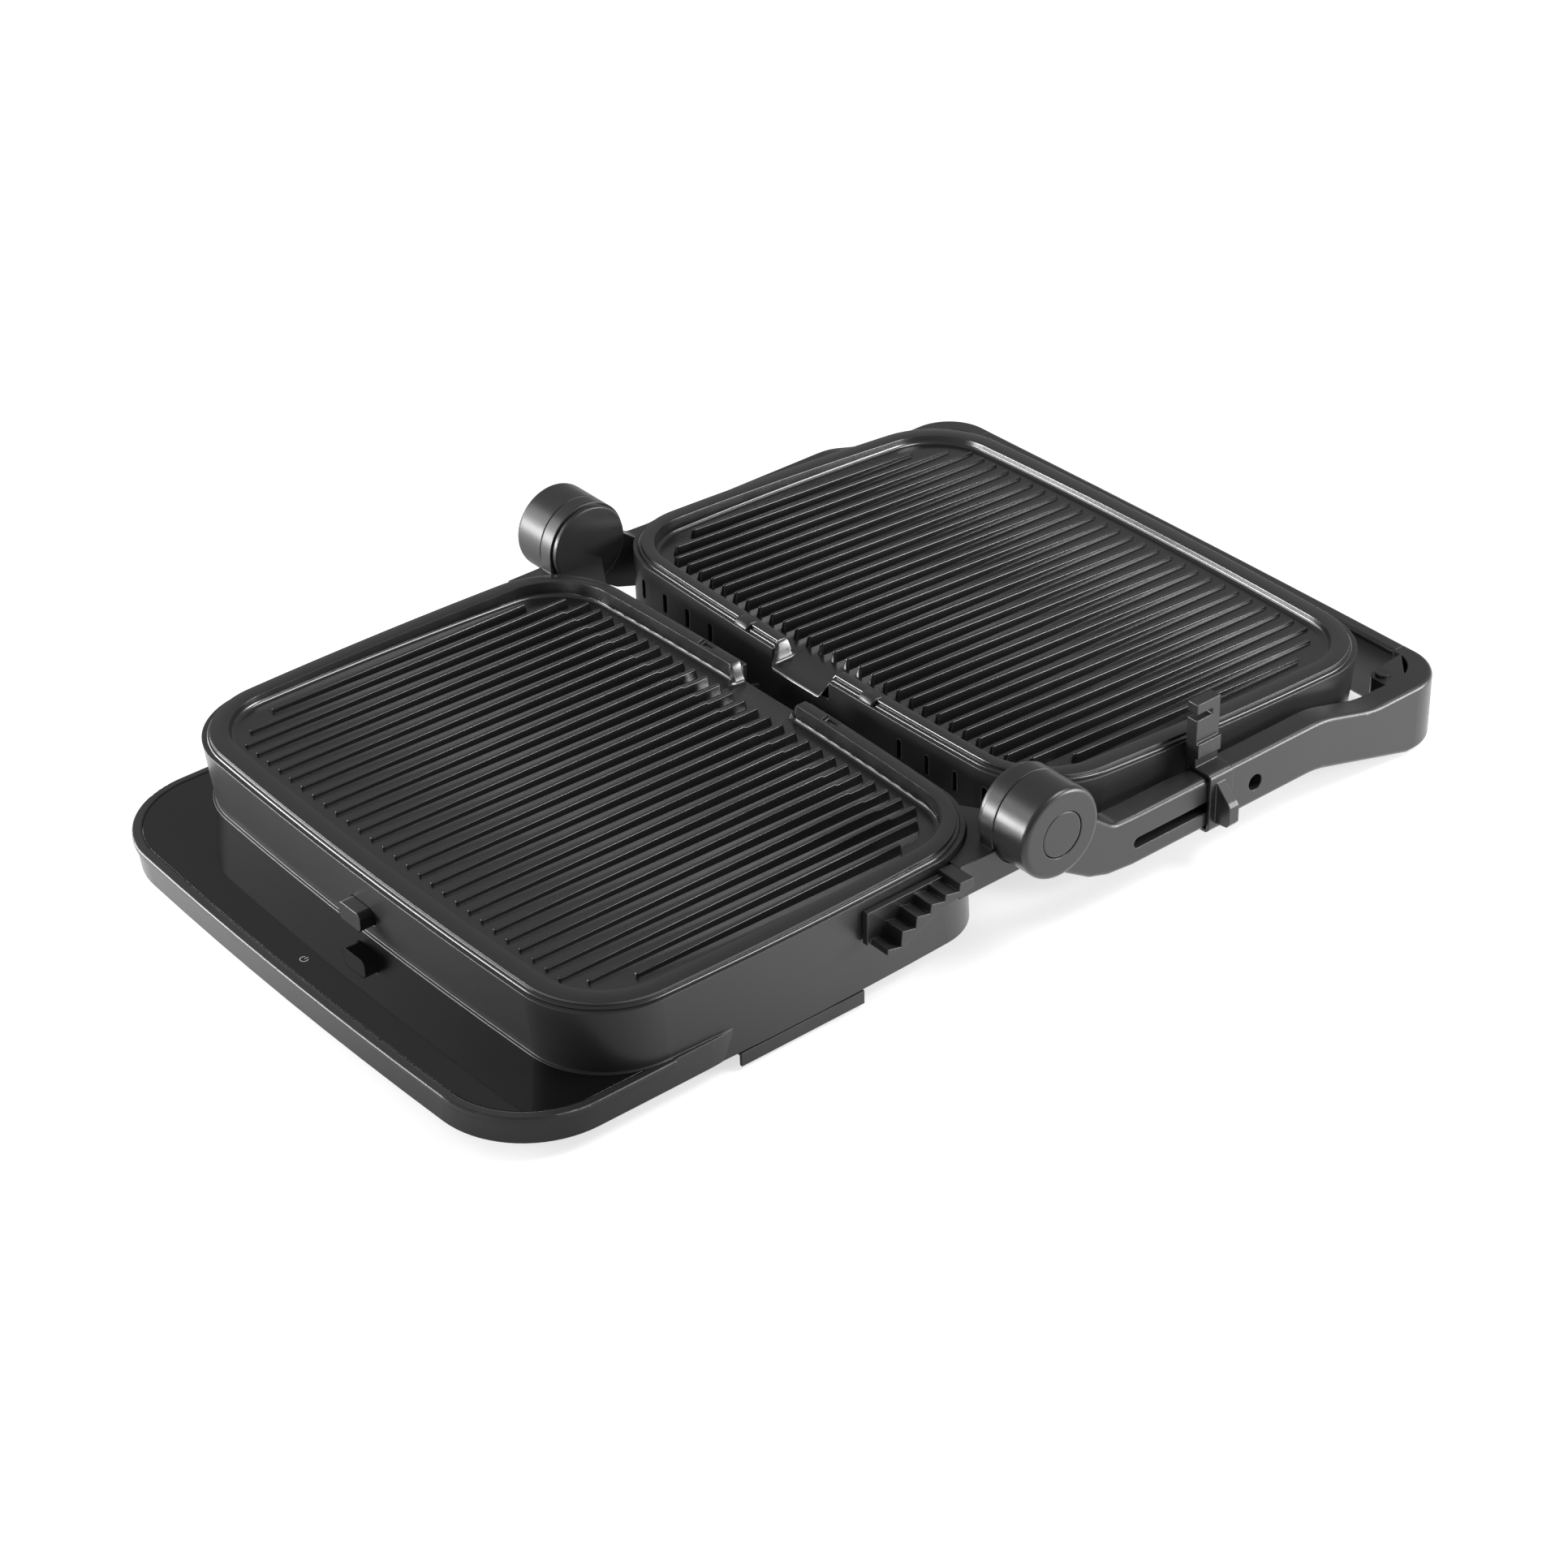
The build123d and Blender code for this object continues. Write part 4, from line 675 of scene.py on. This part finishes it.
def pod_caps(material):
    """Shallow caps over the pin heads on the inner faces of the fixed pod halves."""
    mesh = bmesh.new()
    turns = [2 * math.pi * k / POD_CAP_STEPS for k in range(POD_CAP_STEPS)]
    for side in (-1, 1):
        rings = []
        for depth, radius in POD_CAP_SECTION:
            face = Vector((side * (POD_FACE_X - depth), HINGE_Y, HINGE_Z))
            ways = [Vector((0.0, math.cos(turn), math.sin(turn))) for turn in turns]
            rings.append([(face + way * radius) * MM for way in ways])
        skin(mesh, rings)
    soften(mesh)
    piece_from_mesh("pod_caps", mesh, material, "base")


def power_mark(material):
    """Standby sign printed on the deck glass: an open ring and a short bar."""
    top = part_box("control_deck_glass")[1].z
    centre = Vector((MARK_X * MM, MARK_Y * MM, top + MARK_LIFT * MM))
    half_line = MARK_LINE * MM / 2
    mesh = bmesh.new()
    inner = []
    outer = []
    for i in range(MARK_STEPS + 1):
        angle = math.pi / 2 + MARK_GAP + (2 * math.pi - 2 * MARK_GAP) * i / MARK_STEPS
        way = Vector((math.cos(angle), math.sin(angle), 0.0))
        inner.append(mesh.verts.new(centre + way * (MARK_RADIUS * MM - half_line)))
        outer.append(mesh.verts.new(centre + way * (MARK_RADIUS * MM + half_line)))
    for i in range(MARK_STEPS):
        mesh.faces.new((inner[i], inner[i + 1], outer[i + 1], outer[i]))
    foot, head = MARK_BAR_FOOT * MM, MARK_BAR_TOP * MM
    bar = [(-half_line, foot), (half_line, foot), (half_line, head), (-half_line, head)]
    mesh.faces.new([mesh.verts.new(centre + Vector((x, y, 0.0))) for x, y in bar])
    bmesh.ops.recalc_face_normals(mesh, faces=mesh.faces)
    piece_from_mesh("power_mark", mesh, material, "base")


def set_camera():
    """Camera at the photograph's place, turn and focal length."""
    back = Vector((
        math.sin(CAMERA_AZIMUTH) * math.cos(CAMERA_ELEVATION),
        -math.cos(CAMERA_AZIMUTH) * math.cos(CAMERA_ELEVATION),
        math.sin(CAMERA_ELEVATION),
    ))
    right = Vector((math.cos(CAMERA_AZIMUTH), math.sin(CAMERA_AZIMUTH), 0.0))
    up = back.cross(right)
    turned_right = right * math.cos(CAMERA_ROLL) + up * math.sin(CAMERA_ROLL)
    turned_up = up * math.cos(CAMERA_ROLL) - right * math.sin(CAMERA_ROLL)
    data = bpy.data.cameras.new("photo_camera")
    data.lens = LENS
    data.sensor_width = SENSOR
    data.clip_start = 0.05
    data.clip_end = 50.0
    camera = bpy.data.objects.new("photo_camera", data)
    bpy.context.scene.collection.objects.link(camera)
    turn = Matrix((turned_right, turned_up, back)).transposed()
    camera.matrix_world = Matrix.Translation(AIM + back * CAMERA_DISTANCE) @ turn.to_4x4()
    bpy.context.scene.camera = camera


def seen_white(tree, strength, glossy_share):
    """Emission strength that is full for camera and transmission rays, less for glossy ones."""
    path = tree.nodes.new("ShaderNodeLightPath")
    part = tree.nodes.new("ShaderNodeMath")
    part.operation = "MULTIPLY"
    part.inputs[1].default_value = glossy_share
    tree.links.new(path.outputs["Is Glossy Ray"], part.inputs[0])
    direct = tree.nodes.new("ShaderNodeMath")
    direct.operation = "MAXIMUM"
    tree.links.new(path.outputs["Is Camera Ray"], direct.inputs[0])
    tree.links.new(path.outputs["Is Transmission Ray"], direct.inputs[1])
    either = tree.nodes.new("ShaderNodeMath")
    either.operation = "MAXIMUM"
    tree.links.new(direct.outputs[0], either.inputs[0])
    tree.links.new(part.outputs[0], either.inputs[1])
    scaled = tree.nodes.new("ShaderNodeMath")
    scaled.operation = "MULTIPLY"
    scaled.inputs[1].default_value = strength
    tree.links.new(either.outputs[0], scaled.inputs[0])
    return scaled


def floor_glow(tree):
    """Share of full glow that glossy rays see: dark by the near corner, bright at both sides."""
    place = tree.nodes.new("ShaderNodeTexCoord")
    along = tree.nodes.new("ShaderNodeVectorMath")
    along.operation = "DOT_PRODUCT"
    along.inputs[1].default_value = (math.cos(CAMERA_AZIMUTH), math.sin(CAMERA_AZIMUTH), 0.0)
    tree.links.new(place.outputs["Object"], along.inputs[0])
    shift = tree.nodes.new("ShaderNodeMath")
    shift.operation = "ADD"
    shift.inputs[1].default_value = GLOW_DARK_MIDDLE
    tree.links.new(along.outputs["Value"], shift.inputs[0])
    away = tree.nodes.new("ShaderNodeMath")
    away.operation = "ABSOLUTE"
    tree.links.new(shift.outputs[0], away.inputs[0])
    share = tree.nodes.new("ShaderNodeMapRange")
    share.interpolation_type = "SMOOTHSTEP"
    share.inputs["From Min"].default_value = GLOW_DARK_HALF
    share.inputs["From Max"].default_value = GLOW_BRIGHT_FROM
    share.inputs["To Max"].default_value = GLOW_STRENGTH
    tree.links.new(away.outputs[0], share.inputs["Value"])
    path = tree.nodes.new("ShaderNodeLightPath")
    glossy = tree.nodes.new("ShaderNodeMath")
    glossy.operation = "MULTIPLY"
    tree.links.new(share.outputs[0], glossy.inputs[0])
    tree.links.new(path.outputs["Is Glossy Ray"], glossy.inputs[1])
    return glossy


def studio_floor():
    """Pale floor that keeps a soft shadow."""
    mesh = bmesh.new()
    bmesh.ops.create_grid(mesh, x_segments=8, y_segments=8, size=FLOOR_HALF)
    data = bpy.data.meshes.new("studio_floor")
    mesh.to_mesh(data)
    mesh.free()
    floor = bpy.data.objects.new("studio_floor", data)
    floor.location.z = -FLOOR_DROP
    bpy.context.scene.collection.objects.link(floor)
    paint = (FLOOR_ALBEDO, FLOOR_ALBEDO, FLOOR_ALBEDO)
    material, shader = new_material("studio_floor_paint", paint, 0.9, specular=0.1)
    tree = material.node_tree
    shader.inputs["Emission Color"].default_value = (1.0, 1.0, 1.0, 1.0)
    seen = seen_white(tree, FLOOR_SEEN, 0.0)
    both = tree.nodes.new("ShaderNodeMath")
    both.operation = "ADD"
    tree.links.new(seen.outputs[0], both.inputs[0])
    tree.links.new(floor_glow(tree).outputs[0], both.inputs[1])
    tree.links.new(both.outputs[0], shader.inputs["Emission Strength"])
    data.materials.append(material)


def studio_world():
    """Soft even light, with a white backdrop."""
    world = bpy.data.worlds.new("studio_world")
    bpy.context.scene.world = world
    world.use_nodes = True
    tree = world.node_tree
    background = tree.nodes["Background"]
    background.inputs["Color"].default_value = (1.0, 1.0, 1.0, 1.0)
    lit = seen_white(tree, BACKDROP_SEEN, BACKDROP_GLOSSY)
    base = tree.nodes.new("ShaderNodeMath")
    base.operation = "MAXIMUM"
    base.inputs[1].default_value = BACKDROP_LIGHT
    tree.links.new(lit.outputs[0], base.inputs[0])
    tree.links.new(base.outputs[0], background.inputs["Strength"])


def softbox(name, place, size, power):
    data = bpy.data.lights.new(name, "AREA")
    data.shape = "RECTANGLE"
    data.size, data.size_y = size
    data.energy = power
    lamp = bpy.data.objects.new(name, data)
    bpy.context.scene.collection.objects.link(lamp)
    lamp.location = place
    lamp.rotation_mode = "QUATERNION"
    lamp.rotation_quaternion = (Vector(LAMP_AIM) - Vector(place)).to_track_quat("-Z", "Y")


def studio_lamps():
    """Three large softboxes well away from the grill and three small ones near it."""
    for name, around, above, power in FAR_LAMPS:
        turn = math.radians(around)
        rise = math.radians(above)
        level = math.cos(rise)
        place = Vector((level * math.cos(turn), level * math.sin(turn), math.sin(rise)))
        softbox(name, LAMP_DISTANCE * place, FAR_LAMP_SIZE, power)
    for name, place, power in NEAR_LAMPS:
        softbox(name, place, NEAR_LAMP_SIZE, power)


materials = paint_cad_nodes()
smooth_coating = plate_material("non_stick_coating_smooth", 0.0)
plates = plate_planes()
for name, body, plane, outlet_half, under_slope in plates:
    plate_casting(name, body, plane, outlet_half, under_slope, smooth_coating)
catch_covers(plates[-1][2], materials["housing_trim"])
pod_caps(materials["housing_trim"])
power_mark(mark_material())
set_camera()
studio_floor()
studio_world()
studio_lamps()
bpy.context.scene.view_settings.view_transform = "Standard"
